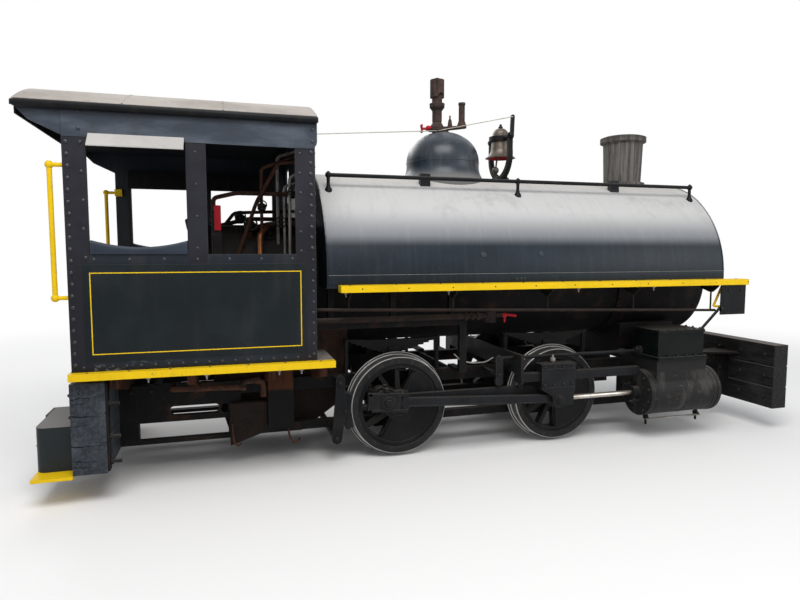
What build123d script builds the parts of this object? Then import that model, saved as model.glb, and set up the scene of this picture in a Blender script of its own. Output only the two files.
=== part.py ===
from build123d import *
import math
import os

# Narrow-gauge saddle-tank steam locomotive with four coupled driving wheels.
# Millimetres. X runs forward, Y to the left, Z up. Z = 0 is the lowest point of the wheel
# flanges and X = 0 is the middle of the overall length.

os.makedirs("parts", exist_ok=True)

RIGHT = -1
LEFT = 1
SIDE_NAMES = {RIGHT: "right", LEFT: "left"}

# Clearances between pieces
SEAT = 0.3
PRESS = 0.1
RUNNING = 0.06

# Wheels, axles and cranks
FLANGE_HEIGHT = 25
TREAD_RADIUS = 381
WHEELBASE = 1371
REAR_AXLE_X = -517
FRONT_AXLE_X = REAR_AXLE_X + WHEELBASE
AXLE_Z = FLANGE_HEIGHT + TREAD_RADIUS
FLANGE_RADIUS = TREAD_RADIUS + FLANGE_HEIGHT
TYRE_BACK_Y = 496.5
TYRE_WIDTH = 125
TYRE_FACE_Y = TYRE_BACK_Y + TYRE_WIDTH
TYRE_THICKNESS = 55
RIM_THICKNESS = 34
RIM_INSET = 12
HUB_RADIUS = 118
HUB_FACE_Y = 640
HUB_BACK_Y = 492
SPOKES = 12
SPOKE_WIDTH = 40
SPOKE_INNER_Y = 525
SPOKE_OUTER_Y = 590
# How far the spokes and the counterweight run into the hub and the rim
HUB_SINK = 20
RIM_SINK = 4
WEIGHT_FACE_Y = 604
AXLE_RADIUS = 75
CRANK_RADIUS = 152
CRANK_BOSS_RADIUS = 84
CRANK_PIN_RADIUS = 45
CRANK_ANGLE = {RIGHT: 152.5, LEFT: 242.5}

# Side rods
SIDE_ROD_INNER_Y = 664
SIDE_ROD_OUTER_Y = 704
SIDE_ROD_HEIGHT = 72
SIDE_ROD_EYE_RADIUS = 76
CRANK_CAP_RADIUS = 60
CRANK_CAP_THICKNESS = 14

# Cylinders, main rods and crossheads
CYLINDER_Y = 765
CYLINDER_RADIUS = 190
CYLINDER_REAR_X = 1540
CYLINDER_FRONT_X = 2240
HEAD_THICKNESS = 30
MAIN_ROD_LENGTH = 1422
MAIN_ROD_WIDTH = 40
MAIN_ROD_HEIGHT = 66
BIG_END_HEIGHT = 137
BIG_END_REAR = 151
BIG_END_FRONT = 157
SMALL_END_RADIUS = 55
WRIST_PIN_RADIUS = 30
PISTON_ROD_RADIUS = 20
PISTON_ROD_REACH = 985
CHEEK_GAP = 2
CROSSHEAD_INNER_Y = 727
CROSSHEAD_OUTER_Y = 823
CROSSHEAD_REAR = 165
CROSSHEAD_FRONT = 135
CROSSHEAD_BOTTOM_Z = 501
CROSSHEAD_TOP_Z = 691
CHEEK_RADIUS = 62
GUIDE_BAR_WIDTH = 60
GUIDE_BAR_Z = 563
GUIDE_BAR_HEIGHT = 67
YOKE_X = 415
YOKE_THICKNESS = 22
YOKE_TOP_Z = 785
CHEST_REAR_X = 1615
CHEST_FRONT_X = 2067
CHEST_INNER_Y = 600
CHEST_OUTER_Y = 920
CHEST_BOTTOM_Z = 700
CHEST_TOP_Z = 939
VALVE_ROD_Y = 690
VALVE_ROD_Z = 745
VALVE_ROD_RADIUS = 14

# Frames
FRAME_INNER_Y = 385
FRAME_THICKNESS = 65
FRAME_OUTER_Y = FRAME_INNER_Y + FRAME_THICKNESS
FRAME_TOP_Z = 640
FRAME_RAIL_HEIGHT = 95
PEDESTAL_BOTTOM_Z = 205
PEDESTAL_LEG = 70
PEDESTAL_GAP = 190
LOWER_RAIL_Z = 230
LOWER_RAIL_HEIGHT = 62
AXLEBOX_TOP_Z = 520
AXLEBOX_BOTTOM_Z = 290
REAR_SLAB_FRONT_X = -1700
REAR_SLAB_BOTTOM_Z = 212
# Openings through the rear slab: rear X, front X, bottom Z, top Z, corner radius
REAR_SLOTS = (
    (-2196, -1853, 407, 479, 30),
    (-1840, -1790, 407, 479, 24),
    (-2405, -1787, 240, 368, 6),
)
STRETCHERS_X = (-2300, -20, 1180)
STRETCHER_THICKNESS = 20
GUSSET_LENGTH = 420
GUSSET_THICKNESS = 14
STRAP_LENGTH = 120

# Half the width of the cab and of the beams below it
CAB_HALF_WIDTH = 950

# Beams, bumper and couplers
REAR_BEAM_FRONT_X = -2530
REAR_BEAM_DEPTH = 200
BEAM_HALF_WIDTH = CAB_HALF_WIDTH
REAR_BEAM_BOTTOM_Z = 205
REAR_BEAM_TOP_Z = 782
FRONT_BEAM_REAR_X = 2810
FRONT_BEAM_DEPTH = 150
FRONT_BEAM_BOTTOM_Z = 210
FRONT_BEAM_TOP_Z = 771
BEAM_TIMBERS = 3
GROOVE = 12
BUMPER_DEPTH = 235
BUMPER_INNER_Y = 280
BUMPER_OUTER_Y = BEAM_HALF_WIDTH - 120
BUMPER_BOTTOM_Z = 203
BUMPER_TOP_Z = 490
BUMPER_CORNER = 60
COUPLER_MOUTH_X = 3080
COUPLER_Z = 310
COUPLER_HEAD_LENGTH = 120
COUPLER_HALF_WIDTH = 115
COUPLER_HALF_HEIGHT = 85
COUPLER_SHANK_HALF_WIDTH = 75
COUPLER_SHANK_HALF_HEIGHT = 55
COUPLER_FLANGE_THICKNESS = 25
COUPLER_FLANGE_HALF_WIDTH = 150
COUPLER_FLANGE_HALF_HEIGHT = 95
COUPLER_SLOT_DEPTH = 90
COUPLER_SLOT_HALF_HEIGHT = 32
COUPLER_SLOT_HALF_WIDTH = 80
COUPLER_PIN_RADIUS = 20
COUPLER_PIN_SETBACK = 45

# Boiler, firebox and smokebox
BOILER_Z = 1325
BOILER_RADIUS = 480
BACKHEAD_X = -1900
FIREBOX_FRONT_X = -860
FIREBOX_HALF_WIDTH = 360
FIREBOX_BOTTOM_Z = 560
ASH_PAN_BOTTOM_Z = 195
WING_REAR_X = -1780
WING_LENGTH = 268
WING_THICKNESS = 55
WING_BOTTOM_Z = 168
WING_TOP_Z = 481
SMOKEBOX_RADIUS = 500
SMOKEBOX_REAR_X = 1540
SMOKEBOX_FRONT_X = 2440
SMOKEBOX_SHELL = 14
SMOKEBOX_OPENING_RADIUS = 300
SMOKEBOX_DOOR_RADIUS = 340
SMOKEBOX_HINGE_Y = 395

# Saddle tank and running boards
TANK_REAR_X = -1110
TANK_FRONT_X = 2330
TANK_RADIUS = 836
TANK_CENTRE_Z = 1385
TANK_BOTTOM_Z = 1335
BOARD_REAR_X = -1030
BOARD_FRONT_X = 2490
BOARD_OUTER_Y = TANK_RADIUS + 114
BOARD_TOP_Z = TANK_BOTTOM_Z + 25
BOARD_THICKNESS = 48
TANK_TOP_Z = TANK_CENTRE_Z + TANK_RADIUS
HANDRAIL_Y = 500
HANDRAIL_Z = TANK_TOP_Z - 56
HANDRAIL_RADIUS = 15
CLEATS_X = (-240, 1520)
CLEAT_Y = 390
CLEAT_WIDTH = 50
CLEAT_LENGTH = 82
CLEAT_RISE = 88

# Dome, stack and bell
DOME_X = 58
DOME_RADIUS = 315
DOME_HEIGHT = 404
DOME_TOP_Z = TANK_TOP_Z + DOME_HEIGHT
WHISTLE_X = 5
WHISTLE_FOOT_RADIUS = 42
WHISTLE_SEAT_DEPTH = 20
STACK_X = 1895
STACK_HEIGHT = 454
STACK_TOP_Z = TANK_TOP_Z + STACK_HEIGHT
STACK_BASE_RADIUS = 168
STACK_TOP_RADIUS = 180
STACK_RIM_RADIUS = 208
STACK_COLLAR = 35
STACK_WALL = 22
BELL_X = 610
BELL_PIVOT_HEIGHT = 371
BELL_PIVOT_Z = TANK_TOP_Z + BELL_PIVOT_HEIGHT
BELL_LIP_RADIUS = 135
BELL_LIP_Z = BELL_PIVOT_Z - 167
BELL_CROWN_Z = BELL_PIVOT_Z + 98

# Cab
CAB_REAR_X = -2710
CAB_FRONT_X = -1200
CAB_WALL = 8
CAB_BOTTOM_Z = 855
EAVE_Z = 2470
ROOF_CROWN_Z = 2708
ROOF_REAR_X = -2960
ROOF_FRONT_X = -1180
ROOF_HALF_WIDTH = CAB_HALF_WIDTH + 35
ROOF_THICKNESS = 26
ROOF_LIP = 30
FASCIA_BOTTOM_Z = 2290
FASCIA_KNEE_X = -2880
FASCIA_KNEE_Z = 2370
HEADER_BOTTOM_Z = 2400
DECK_THICKNESS = 46
DECK_REAR_X = -2720
DECK_FRONT_X = -1083
STEP_BOARD_WIDTH = 60
# Window name: rear X, front X, sill Z, head Z
WINDOWS = {
    "rear": (-2578, -2015, 1595, 2278),
    "front": (-1892, -1335, 1580, 2278),
}


def side_plane(y, x=0, z=0, tilt=0):
    """Upright plane that faces right: local x forward, turned up by tilt, local y up."""
    direction = (math.cos(math.radians(tilt)), 0, math.sin(math.radians(tilt)))
    return Plane(origin=(x, y, z), x_dir=direction, z_dir=(0, -1, 0))


def slab_face(side, inner, outer):
    """Y of the left-hand face of a slab that lies from inner to outer on one side."""
    return outer if side == LEFT else -inner


def section_plane(x, z=0, y=0):
    """Upright plane across the locomotive: local x to the left, local y up."""
    return Plane(origin=(x, y, z), x_dir=(0, 1, 0), z_dir=(1, 0, 0))


def crank_offset(side):
    """Place of the crank pin from its axle, as (x, z)."""
    angle = math.radians(CRANK_ANGLE[side])
    return CRANK_RADIUS * math.cos(angle), CRANK_RADIUS * math.sin(angle)


def wrist_x(side):
    """X of the wrist pin for the crank's place at rest."""
    dx, dz = crank_offset(side)
    return REAR_AXLE_X + dx + math.sqrt(MAIN_ROD_LENGTH**2 - dz**2)


def finish(piece, name):
    piece.part.label = name
    export_step(piece.part, f"parts/{name}.step")


# Wheelsets
TYRE_BORE = TREAD_RADIUS - TYRE_THICKNESS
RIM_OUTER = TYRE_BORE - PRESS
RIM_INNER = RIM_OUTER - RIM_THICKNESS
CRANK_PIN_END_Y = SIDE_ROD_OUTER_Y + 2 + CRANK_CAP_THICKNESS
# Wheelset: axle x and half the angle that its counterweight fills
WHEELSETS = {"rear": (REAR_AXLE_X, 90), "front": (FRONT_AXLE_X, 60)}

for position, (axle_x, weight_half_angle) in WHEELSETS.items():
    axle_line = Axis((axle_x, 0, AXLE_Z), (0, 1, 0))

    with BuildPart() as axle:
        with BuildSketch(side_plane(HUB_FACE_Y, axle_x, AXLE_Z)):
            Circle(AXLE_RADIUS)
        extrude(amount=2 * HUB_FACE_Y)
    finish(axle, f"{position}_axle")

    with BuildPart() as tyres:
        for side in (RIGHT, LEFT):
            with BuildSketch(Plane(origin=(axle_x, 0, AXLE_Z), x_dir=(0, side, 0), z_dir=(side, 0, 0))):
                with BuildLine():
                    bore = Line((TYRE_BACK_Y, TYRE_BORE), (TYRE_FACE_Y, TYRE_BORE))
                    face = Line(bore @ 1, (TYRE_FACE_Y, TREAD_RADIUS - 8))
                    chamfered = Line(face @ 1, (TYRE_FACE_Y - 7, TREAD_RADIUS - 2))
                    tread = Line(chamfered @ 1, (TYRE_BACK_Y + 36, TREAD_RADIUS))
                    throat = ThreePointArc(
                        tread @ 1,
                        (TYRE_BACK_Y + 29, TREAD_RADIUS + 5),
                        (TYRE_BACK_Y + 26, FLANGE_RADIUS - 11),
                    )
                    tip = ThreePointArc(
                        throat @ 1,
                        (TYRE_BACK_Y + 15, FLANGE_RADIUS),
                        (TYRE_BACK_Y + 4, FLANGE_RADIUS - 11),
                    )
                    back = Line(tip @ 1, (TYRE_BACK_Y, FLANGE_RADIUS - 22))
                    Line(back @ 1, bore @ 0)
                make_face()
            revolve(axis=axle_line)
    finish(tyres, f"{position}_tyres")

    with BuildPart() as centres:
        for side in (RIGHT, LEFT):
            angle = CRANK_ANGLE[side]
            dx, dz = crank_offset(side)
            rim_face = slab_face(side, TYRE_BACK_Y + RIM_INSET, TYRE_FACE_Y - RIM_INSET)
            with BuildSketch(side_plane(rim_face, axle_x, AXLE_Z)):
                Circle(RIM_OUTER)
                Circle(RIM_INNER, mode=Mode.SUBTRACT)
            extrude(amount=TYRE_WIDTH - 2 * RIM_INSET)
            spoke_face = slab_face(side, SPOKE_INNER_Y, SPOKE_OUTER_Y)
            with BuildSketch(side_plane(spoke_face, axle_x, AXLE_Z, angle)):
                with PolarLocations(0, SPOKES):
                    Polygon(
                        (HUB_RADIUS - HUB_SINK, -SPOKE_WIDTH / 2),
                        (RIM_INNER + RIM_SINK, -SPOKE_WIDTH / 3),
                        (RIM_INNER + RIM_SINK, SPOKE_WIDTH / 3),
                        (HUB_RADIUS - HUB_SINK, SPOKE_WIDTH / 2),
                        align=None,
                    )
            extrude(amount=SPOKE_OUTER_Y - SPOKE_INNER_Y)
            weight_face = slab_face(side, SPOKE_INNER_Y, WEIGHT_FACE_Y)
            with BuildSketch(side_plane(weight_face, axle_x, AXLE_Z, angle + 180)):
                with BuildLine():
                    start = PolarLine((0, 0), RIM_INNER + RIM_SINK, -weight_half_angle)
                    arc = CenterArc((0, 0), RIM_INNER + RIM_SINK, -weight_half_angle, 2 * weight_half_angle)
                    Line(arc @ 1, start @ 0)
                make_face()
            extrude(amount=WEIGHT_FACE_Y - SPOKE_INNER_Y)
            hub_face = slab_face(side, HUB_BACK_Y, HUB_FACE_Y)
            with BuildSketch(side_plane(hub_face, axle_x, AXLE_Z)):
                Circle(HUB_RADIUS)
            extrude(amount=HUB_FACE_Y - HUB_BACK_Y)
            boss_face = slab_face(side, SPOKE_INNER_Y, HUB_FACE_Y)
            with BuildSketch(side_plane(boss_face, axle_x, AXLE_Z, angle)):
                Circle(CRANK_BOSS_RADIUS)
                with Locations((CRANK_RADIUS, 0)):
                    Circle(CRANK_BOSS_RADIUS)
                with Locations((CRANK_RADIUS / 2, 0)):
                    Rectangle(CRANK_RADIUS, 2 * CRANK_BOSS_RADIUS)
            extrude(amount=HUB_FACE_Y - SPOKE_INNER_Y)
            pin_face = slab_face(side, HUB_FACE_Y, CRANK_PIN_END_Y)
            with BuildSketch(side_plane(pin_face, axle_x + dx, AXLE_Z + dz)):
                Circle(CRANK_PIN_RADIUS)
            extrude(amount=CRANK_PIN_END_Y - HUB_FACE_Y)
            # Collar behind the side rod and cap in front of it
            for inner, outer in (
                (HUB_FACE_Y, SIDE_ROD_INNER_Y - 2),
                (SIDE_ROD_OUTER_Y + 2, CRANK_PIN_END_Y),
            ):
                with BuildSketch(side_plane(slab_face(side, inner, outer), axle_x + dx, AXLE_Z + dz)):
                    Circle(CRANK_CAP_RADIUS)
                extrude(amount=outer - inner)
        # Bore for the axle through both hubs
        with BuildSketch(side_plane(HUB_FACE_Y, axle_x, AXLE_Z)):
            Circle(AXLE_RADIUS + PRESS)
        extrude(amount=2 * HUB_FACE_Y, mode=Mode.SUBTRACT)
    finish(centres, f"{position}_wheel_centres")


# Side rods, main rods and crossheads, one of each on each side
MAIN_ROD_INNER_Y = CYLINDER_Y - MAIN_ROD_WIDTH / 2
MAIN_ROD_OUTER_Y = CYLINDER_Y + MAIN_ROD_WIDTH / 2
CRANK_STUB_INNER_Y = CROSSHEAD_INNER_Y
CRANK_STUB_OUTER_Y = MAIN_ROD_OUTER_Y + 18

for side in (RIGHT, LEFT):
    dx, dz = crank_offset(side)
    pin_z = AXLE_Z + dz
    rear_pin_x = REAR_AXLE_X + dx
    wrist = wrist_x(side)
    rod_tilt = math.degrees(math.atan2(dz, rear_pin_x - wrist))

    with BuildPart() as side_rod:
        rod_face = slab_face(side, SIDE_ROD_INNER_Y, SIDE_ROD_OUTER_Y)
        with BuildSketch(side_plane(rod_face, rear_pin_x, pin_z)):
            with Locations((WHEELBASE / 2, 0)):
                Rectangle(WHEELBASE, SIDE_ROD_HEIGHT)
            with Locations((0, 0), (WHEELBASE, 0)):
                Circle(SIDE_ROD_EYE_RADIUS)
            with Locations((0, SIDE_ROD_EYE_RADIUS), (WHEELBASE, SIDE_ROD_EYE_RADIUS)):
                Rectangle(34, 40)
            with Locations((0, 0), (WHEELBASE, 0)):
                Circle(CRANK_PIN_RADIUS + RUNNING, mode=Mode.SUBTRACT)
        extrude(amount=SIDE_ROD_OUTER_Y - SIDE_ROD_INNER_Y)
    finish(side_rod, f"side_rod_{SIDE_NAMES[side]}")

    with BuildPart() as main_rod:
        # Local x runs from the wrist pin back to the crank pin
        rod_face = slab_face(side, MAIN_ROD_INNER_Y, MAIN_ROD_OUTER_Y)
        with BuildSketch(side_plane(rod_face, wrist, AXLE_Z, rod_tilt)):
            with Locations((MAIN_ROD_LENGTH / 2, 0)):
                Rectangle(MAIN_ROD_LENGTH, MAIN_ROD_HEIGHT)
            Circle(SMALL_END_RADIUS)
            with Locations((MAIN_ROD_LENGTH + (BIG_END_REAR - BIG_END_FRONT) / 2, 0)):
                Rectangle(BIG_END_REAR + BIG_END_FRONT, BIG_END_HEIGHT)
            Circle(WRIST_PIN_RADIUS + RUNNING, mode=Mode.SUBTRACT)
        extrude(amount=MAIN_ROD_WIDTH)
        stub_face = slab_face(side, CRANK_STUB_INNER_Y, CRANK_STUB_OUTER_Y)
        with BuildSketch(side_plane(stub_face, rear_pin_x, pin_z)):
            Circle(CRANK_PIN_RADIUS)
        extrude(amount=CRANK_STUB_OUTER_Y - CRANK_STUB_INNER_Y)
    finish(main_rod, f"main_rod_{SIDE_NAMES[side]}")

    with BuildPart() as crosshead:
        cross_face = slab_face(side, CROSSHEAD_INNER_Y, CROSSHEAD_OUTER_Y)
        cross_width = CROSSHEAD_OUTER_Y - CROSSHEAD_INNER_Y
        with BuildSketch(side_plane(cross_face, wrist, AXLE_Z)):
            with BuildLine():
                Polyline(
                    (-CROSSHEAD_REAR, CROSSHEAD_TOP_Z - AXLE_Z),
                    (-CROSSHEAD_REAR, CROSSHEAD_BOTTOM_Z - AXLE_Z),
                    (-CHEEK_RADIUS, 30),
                    (-CHEEK_RADIUS, 0),
                    (CROSSHEAD_FRONT - 15, 0),
                    (CROSSHEAD_FRONT, CROSSHEAD_BOTTOM_Z - AXLE_Z),
                    (CROSSHEAD_FRONT, CROSSHEAD_TOP_Z - AXLE_Z),
                    close=True,
                )
            make_face()
            Circle(CHEEK_RADIUS)
            with Locations((CROSSHEAD_FRONT / 2, -20)):
                Rectangle(CROSSHEAD_FRONT - 30, 44)
        extrude(amount=cross_width)
        # Fork for the small end of the main rod
        fork_face = slab_face(side, MAIN_ROD_INNER_Y - CHEEK_GAP, MAIN_ROD_OUTER_Y + CHEEK_GAP)
        with BuildSketch(side_plane(fork_face, wrist, AXLE_Z)):
            Circle(SMALL_END_RADIUS + 7)
            with Locations((-CROSSHEAD_REAR / 2, -30)):
                Rectangle(CROSSHEAD_REAR, 2 * SMALL_END_RADIUS + 74)
        extrude(amount=MAIN_ROD_WIDTH + 2 * CHEEK_GAP, mode=Mode.SUBTRACT)
        # Channel for the guide bar
        bar_half_width = GUIDE_BAR_WIDTH / 2 + SEAT
        channel_face = slab_face(side, CYLINDER_Y - bar_half_width, CYLINDER_Y + bar_half_width)
        with BuildSketch(side_plane(channel_face, wrist, GUIDE_BAR_Z - SEAT)):
            with Locations((0, GUIDE_BAR_HEIGHT / 2 + SEAT)):
                Rectangle(3 * CROSSHEAD_REAR, GUIDE_BAR_HEIGHT + 2 * SEAT)
        extrude(amount=2 * bar_half_width, mode=Mode.SUBTRACT)
        # Wrist pin with its nut on the outside
        pin_face = slab_face(side, CROSSHEAD_INNER_Y, CROSSHEAD_OUTER_Y + 14)
        with BuildSketch(side_plane(pin_face, wrist, AXLE_Z)):
            Circle(WRIST_PIN_RADIUS)
        extrude(amount=cross_width + 14)
        # Piston rod
        with BuildSketch(section_plane(wrist + CROSSHEAD_FRONT - 50, AXLE_Z, side * CYLINDER_Y)):
            Circle(PISTON_ROD_RADIUS)
        extrude(amount=PISTON_ROD_REACH - CROSSHEAD_FRONT + 50)
    finish(crosshead, f"crosshead_{SIDE_NAMES[side]}")


# Cylinders with their steam chests and the castings that carry them on the frames
with BuildPart() as cylinders:
    for side in (RIGHT, LEFT):
        y = side * CYLINDER_Y
        with BuildSketch(section_plane(CYLINDER_REAR_X + HEAD_THICKNESS, AXLE_Z, y)):
            Circle(CYLINDER_RADIUS)
        extrude(amount=CYLINDER_FRONT_X - CYLINDER_REAR_X - 2 * HEAD_THICKNESS)
        for head_x in (CYLINDER_REAR_X, CYLINDER_FRONT_X - HEAD_THICKNESS):
            with BuildSketch(section_plane(head_x, AXLE_Z, y)):
                Circle(CYLINDER_RADIUS + 5)
            extrude(amount=HEAD_THICKNESS)
        chest_face = slab_face(side, CHEST_INNER_Y, CHEST_OUTER_Y)
        with BuildSketch(side_plane(chest_face)):
            with Locations(((CHEST_REAR_X + CHEST_FRONT_X) / 2, (CHEST_BOTTOM_Z + CHEST_TOP_Z) / 2)):
                Rectangle(CHEST_FRONT_X - CHEST_REAR_X, CHEST_TOP_Z - CHEST_BOTTOM_Z)
        extrude(amount=CHEST_OUTER_Y - CHEST_INNER_Y)
        port_face = slab_face(side, FRAME_OUTER_Y, CHEST_OUTER_Y)
        with BuildSketch(side_plane(port_face)):
            with Locations(((CHEST_REAR_X + CHEST_FRONT_X) / 2 + 15, (CHEST_BOTTOM_Z + AXLE_Z) / 2)):
                Rectangle(CHEST_FRONT_X - CHEST_REAR_X + 40, CHEST_BOTTOM_Z - AXLE_Z)
        extrude(amount=CHEST_OUTER_Y - FRAME_OUTER_Y)
        # Gland and rod hole
        with BuildSketch(section_plane(CYLINDER_REAR_X - 60, AXLE_Z, y)):
            Circle(52)
        extrude(amount=60)
        with BuildSketch(section_plane(CYLINDER_REAR_X - 60, AXLE_Z, y)):
            Circle(PISTON_ROD_RADIUS + RUNNING)
        extrude(amount=CYLINDER_FRONT_X - CYLINDER_REAR_X - HEAD_THICKNESS, mode=Mode.SUBTRACT)
finish(cylinders, "cylinders")


with BuildPart() as guide_bars:
    for side in (RIGHT, LEFT):
        bar_face = slab_face(side, CYLINDER_Y - GUIDE_BAR_WIDTH / 2, CYLINDER_Y + GUIDE_BAR_WIDTH / 2)
        bar_start = YOKE_X + YOKE_THICKNESS
        bar_length = CYLINDER_REAR_X - bar_start
        with BuildSketch(side_plane(bar_face)):
            with Locations((bar_start + bar_length / 2, GUIDE_BAR_Z + GUIDE_BAR_HEIGHT / 2)):
                Rectangle(bar_length, GUIDE_BAR_HEIGHT)
        extrude(amount=GUIDE_BAR_WIDTH)
finish(guide_bars, "guide_bars")


YOKE_END_MARGIN = 7
YOKE_LEG_Y = CYLINDER_Y + 5
YOKE_LEG_WIDTH = 120
YOKE_FOOT_Z = GUIDE_BAR_Z - 5
with BuildPart() as guide_yoke:
    with BuildSketch(section_plane(YOKE_X)):
        with Locations((0, (FRAME_TOP_Z + YOKE_TOP_Z) / 2)):
            Rectangle(2 * (CROSSHEAD_OUTER_Y + YOKE_END_MARGIN), YOKE_TOP_Z - FRAME_TOP_Z)
        for side in (RIGHT, LEFT):
            with Locations((side * YOKE_LEG_Y, (YOKE_TOP_Z + YOKE_FOOT_Z) / 2)):
                Rectangle(YOKE_LEG_WIDTH, YOKE_TOP_Z - YOKE_FOOT_Z)
            # Hole that the valve rod passes through
            with Locations((side * VALVE_ROD_Y, VALVE_ROD_Z)):
                Circle(VALVE_ROD_RADIUS + 9, mode=Mode.SUBTRACT)
    extrude(amount=YOKE_THICKNESS)
finish(guide_yoke, "guide_yoke")


# Valve rods with the rocker arms that move them
ARM_THICKNESS = 24
ARM_INNER_Y = VALVE_ROD_Y + 20
ARM_OUTER_Y = ARM_INNER_Y + ARM_THICKNESS
ROCKER_SHAFT_Z = FRAME_TOP_Z - 18
ROCKER_SHAFT_RADIUS = 16
# X of each arm, its width and the Z of its lower end
ROCKER_ARMS = ((275, 62, 530), (462, 36, 500))
with BuildPart() as valve_rods:
    for side in (RIGHT, LEFT):
        arm_face = slab_face(side, ARM_INNER_Y, ARM_OUTER_Y)
        for arm_x, arm_width, arm_bottom in ROCKER_ARMS:
            arm_top = VALVE_ROD_Z + 30
            with BuildSketch(side_plane(arm_face)):
                with Locations((arm_x, (arm_top + arm_bottom) / 2)):
                    SlotOverall(arm_top - arm_bottom, arm_width, rotation=90)
            extrude(amount=ARM_THICKNESS)
            shaft_face = slab_face(side, FRAME_OUTER_Y, ARM_OUTER_Y)
            with BuildSketch(side_plane(shaft_face, arm_x, ROCKER_SHAFT_Z)):
                Circle(ROCKER_SHAFT_RADIUS)
            extrude(amount=ARM_OUTER_Y - FRAME_OUTER_Y)
            pin_face = slab_face(side, VALVE_ROD_Y - 16, ARM_OUTER_Y)
            with BuildSketch(side_plane(pin_face, arm_x, VALVE_ROD_Z)):
                Circle(16)
            extrude(amount=ARM_OUTER_Y - VALVE_ROD_Y + 16)
        with BuildSketch(section_plane(ROCKER_ARMS[0][0], VALVE_ROD_Z, side * VALVE_ROD_Y)):
            Circle(VALVE_ROD_RADIUS)
        extrude(amount=CHEST_REAR_X - ROCKER_ARMS[0][0])
finish(valve_rods, "valve_rods")


# Frames: a bar frame on each side, slabs behind the wheels, cross plates and front gussets
with BuildPart() as frames:
    for side in (RIGHT, LEFT):
        frame_face = slab_face(side, FRAME_INNER_Y, FRAME_OUTER_Y)
        rail_length = FRONT_BEAM_REAR_X - REAR_BEAM_FRONT_X
        with BuildSketch(side_plane(frame_face)):
            with Locations(
                ((FRONT_BEAM_REAR_X + REAR_BEAM_FRONT_X) / 2, FRAME_TOP_Z - FRAME_RAIL_HEIGHT / 2)
            ):
                Rectangle(rail_length, FRAME_RAIL_HEIGHT)
            with Locations(
                ((CHEST_FRONT_X + REAR_SLAB_FRONT_X) / 2, LOWER_RAIL_Z + LOWER_RAIL_HEIGHT / 2)
            ):
                Rectangle(CHEST_FRONT_X - REAR_SLAB_FRONT_X, LOWER_RAIL_HEIGHT)
            with Locations(
                (
                    (REAR_BEAM_FRONT_X + REAR_SLAB_FRONT_X) / 2,
                    (FRAME_TOP_Z + REAR_SLAB_BOTTOM_Z) / 2,
                )
            ):
                Rectangle(REAR_SLAB_FRONT_X - REAR_BEAM_FRONT_X, FRAME_TOP_Z - REAR_SLAB_BOTTOM_Z)
            for axle_x, _ in WHEELSETS.values():
                with Locations((axle_x, (FRAME_TOP_Z + PEDESTAL_BOTTOM_Z) / 2)):
                    Rectangle(PEDESTAL_GAP + 2 * PEDESTAL_LEG, FRAME_TOP_Z - PEDESTAL_BOTTOM_Z)
            with Locations(((CHEST_REAR_X + CHEST_FRONT_X) / 2, (FRAME_TOP_Z + LOWER_RAIL_Z) / 2)):
                Rectangle(CHEST_FRONT_X - CHEST_REAR_X, FRAME_TOP_Z - LOWER_RAIL_Z)
            for axle_x, _ in WHEELSETS.values():
                with Locations((axle_x, (AXLEBOX_TOP_Z + AXLEBOX_BOTTOM_Z) / 2)):
                    Rectangle(
                        PEDESTAL_GAP, AXLEBOX_TOP_Z - AXLEBOX_BOTTOM_Z + 2 * SEAT, mode=Mode.SUBTRACT
                    )
            for rear, front, bottom, top, corner in REAR_SLOTS:
                with Locations(((rear + front) / 2, (bottom + top) / 2)):
                    RectangleRounded(front - rear, top - bottom, corner, mode=Mode.SUBTRACT)
        extrude(amount=FRAME_THICKNESS)
        with BuildSketch(Plane.XY.offset(FRAME_TOP_Z)):
            with BuildLine():
                Polyline(
                    (FRONT_BEAM_REAR_X, side * (FRAME_INNER_Y - 100)),
                    (FRONT_BEAM_REAR_X - GUSSET_LENGTH, side * (FRAME_INNER_Y + 10)),
                    (FRONT_BEAM_REAR_X - GUSSET_LENGTH, side * (FRAME_OUTER_Y - 10)),
                    (FRONT_BEAM_REAR_X, side * (FRAME_OUTER_Y + 130)),
                    close=True,
                )
            make_face()
        extrude(amount=GUSSET_THICKNESS)
        strap_face = slab_face(side, FRAME_OUTER_Y, FRAME_OUTER_Y + GUSSET_THICKNESS)
        with BuildSketch(side_plane(strap_face)):
            strap_height = FRAME_TOP_Z - FRONT_BEAM_BOTTOM_Z - 30
            with Locations((FRONT_BEAM_REAR_X - STRAP_LENGTH / 2, FRAME_TOP_Z - 10 - strap_height / 2)):
                Rectangle(STRAP_LENGTH, strap_height)
        extrude(amount=GUSSET_THICKNESS)
    for plate_x in STRETCHERS_X:
        with Locations((plate_x, 0, FRAME_TOP_Z - FRAME_RAIL_HEIGHT / 2)):
            Box(STRETCHER_THICKNESS, 2 * FRAME_INNER_Y, FRAME_RAIL_HEIGHT)
finish(frames, "main_frames")


with BuildPart() as axleboxes:
    for side in (RIGHT, LEFT):
        box_face = slab_face(side, FRAME_INNER_Y - 8, FRAME_OUTER_Y + 8)
        for axle_x, _ in WHEELSETS.values():
            with BuildSketch(side_plane(box_face, axle_x, (AXLEBOX_TOP_Z + AXLEBOX_BOTTOM_Z) / 2)):
                Rectangle(PEDESTAL_GAP - 2 * SEAT, AXLEBOX_TOP_Z - AXLEBOX_BOTTOM_Z)
                with Locations((0, AXLE_Z - (AXLEBOX_TOP_Z + AXLEBOX_BOTTOM_Z) / 2)):
                    Circle(AXLE_RADIUS + RUNNING, mode=Mode.SUBTRACT)
            extrude(amount=FRAME_THICKNESS + 16)
finish(axleboxes, "axleboxes")


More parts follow.
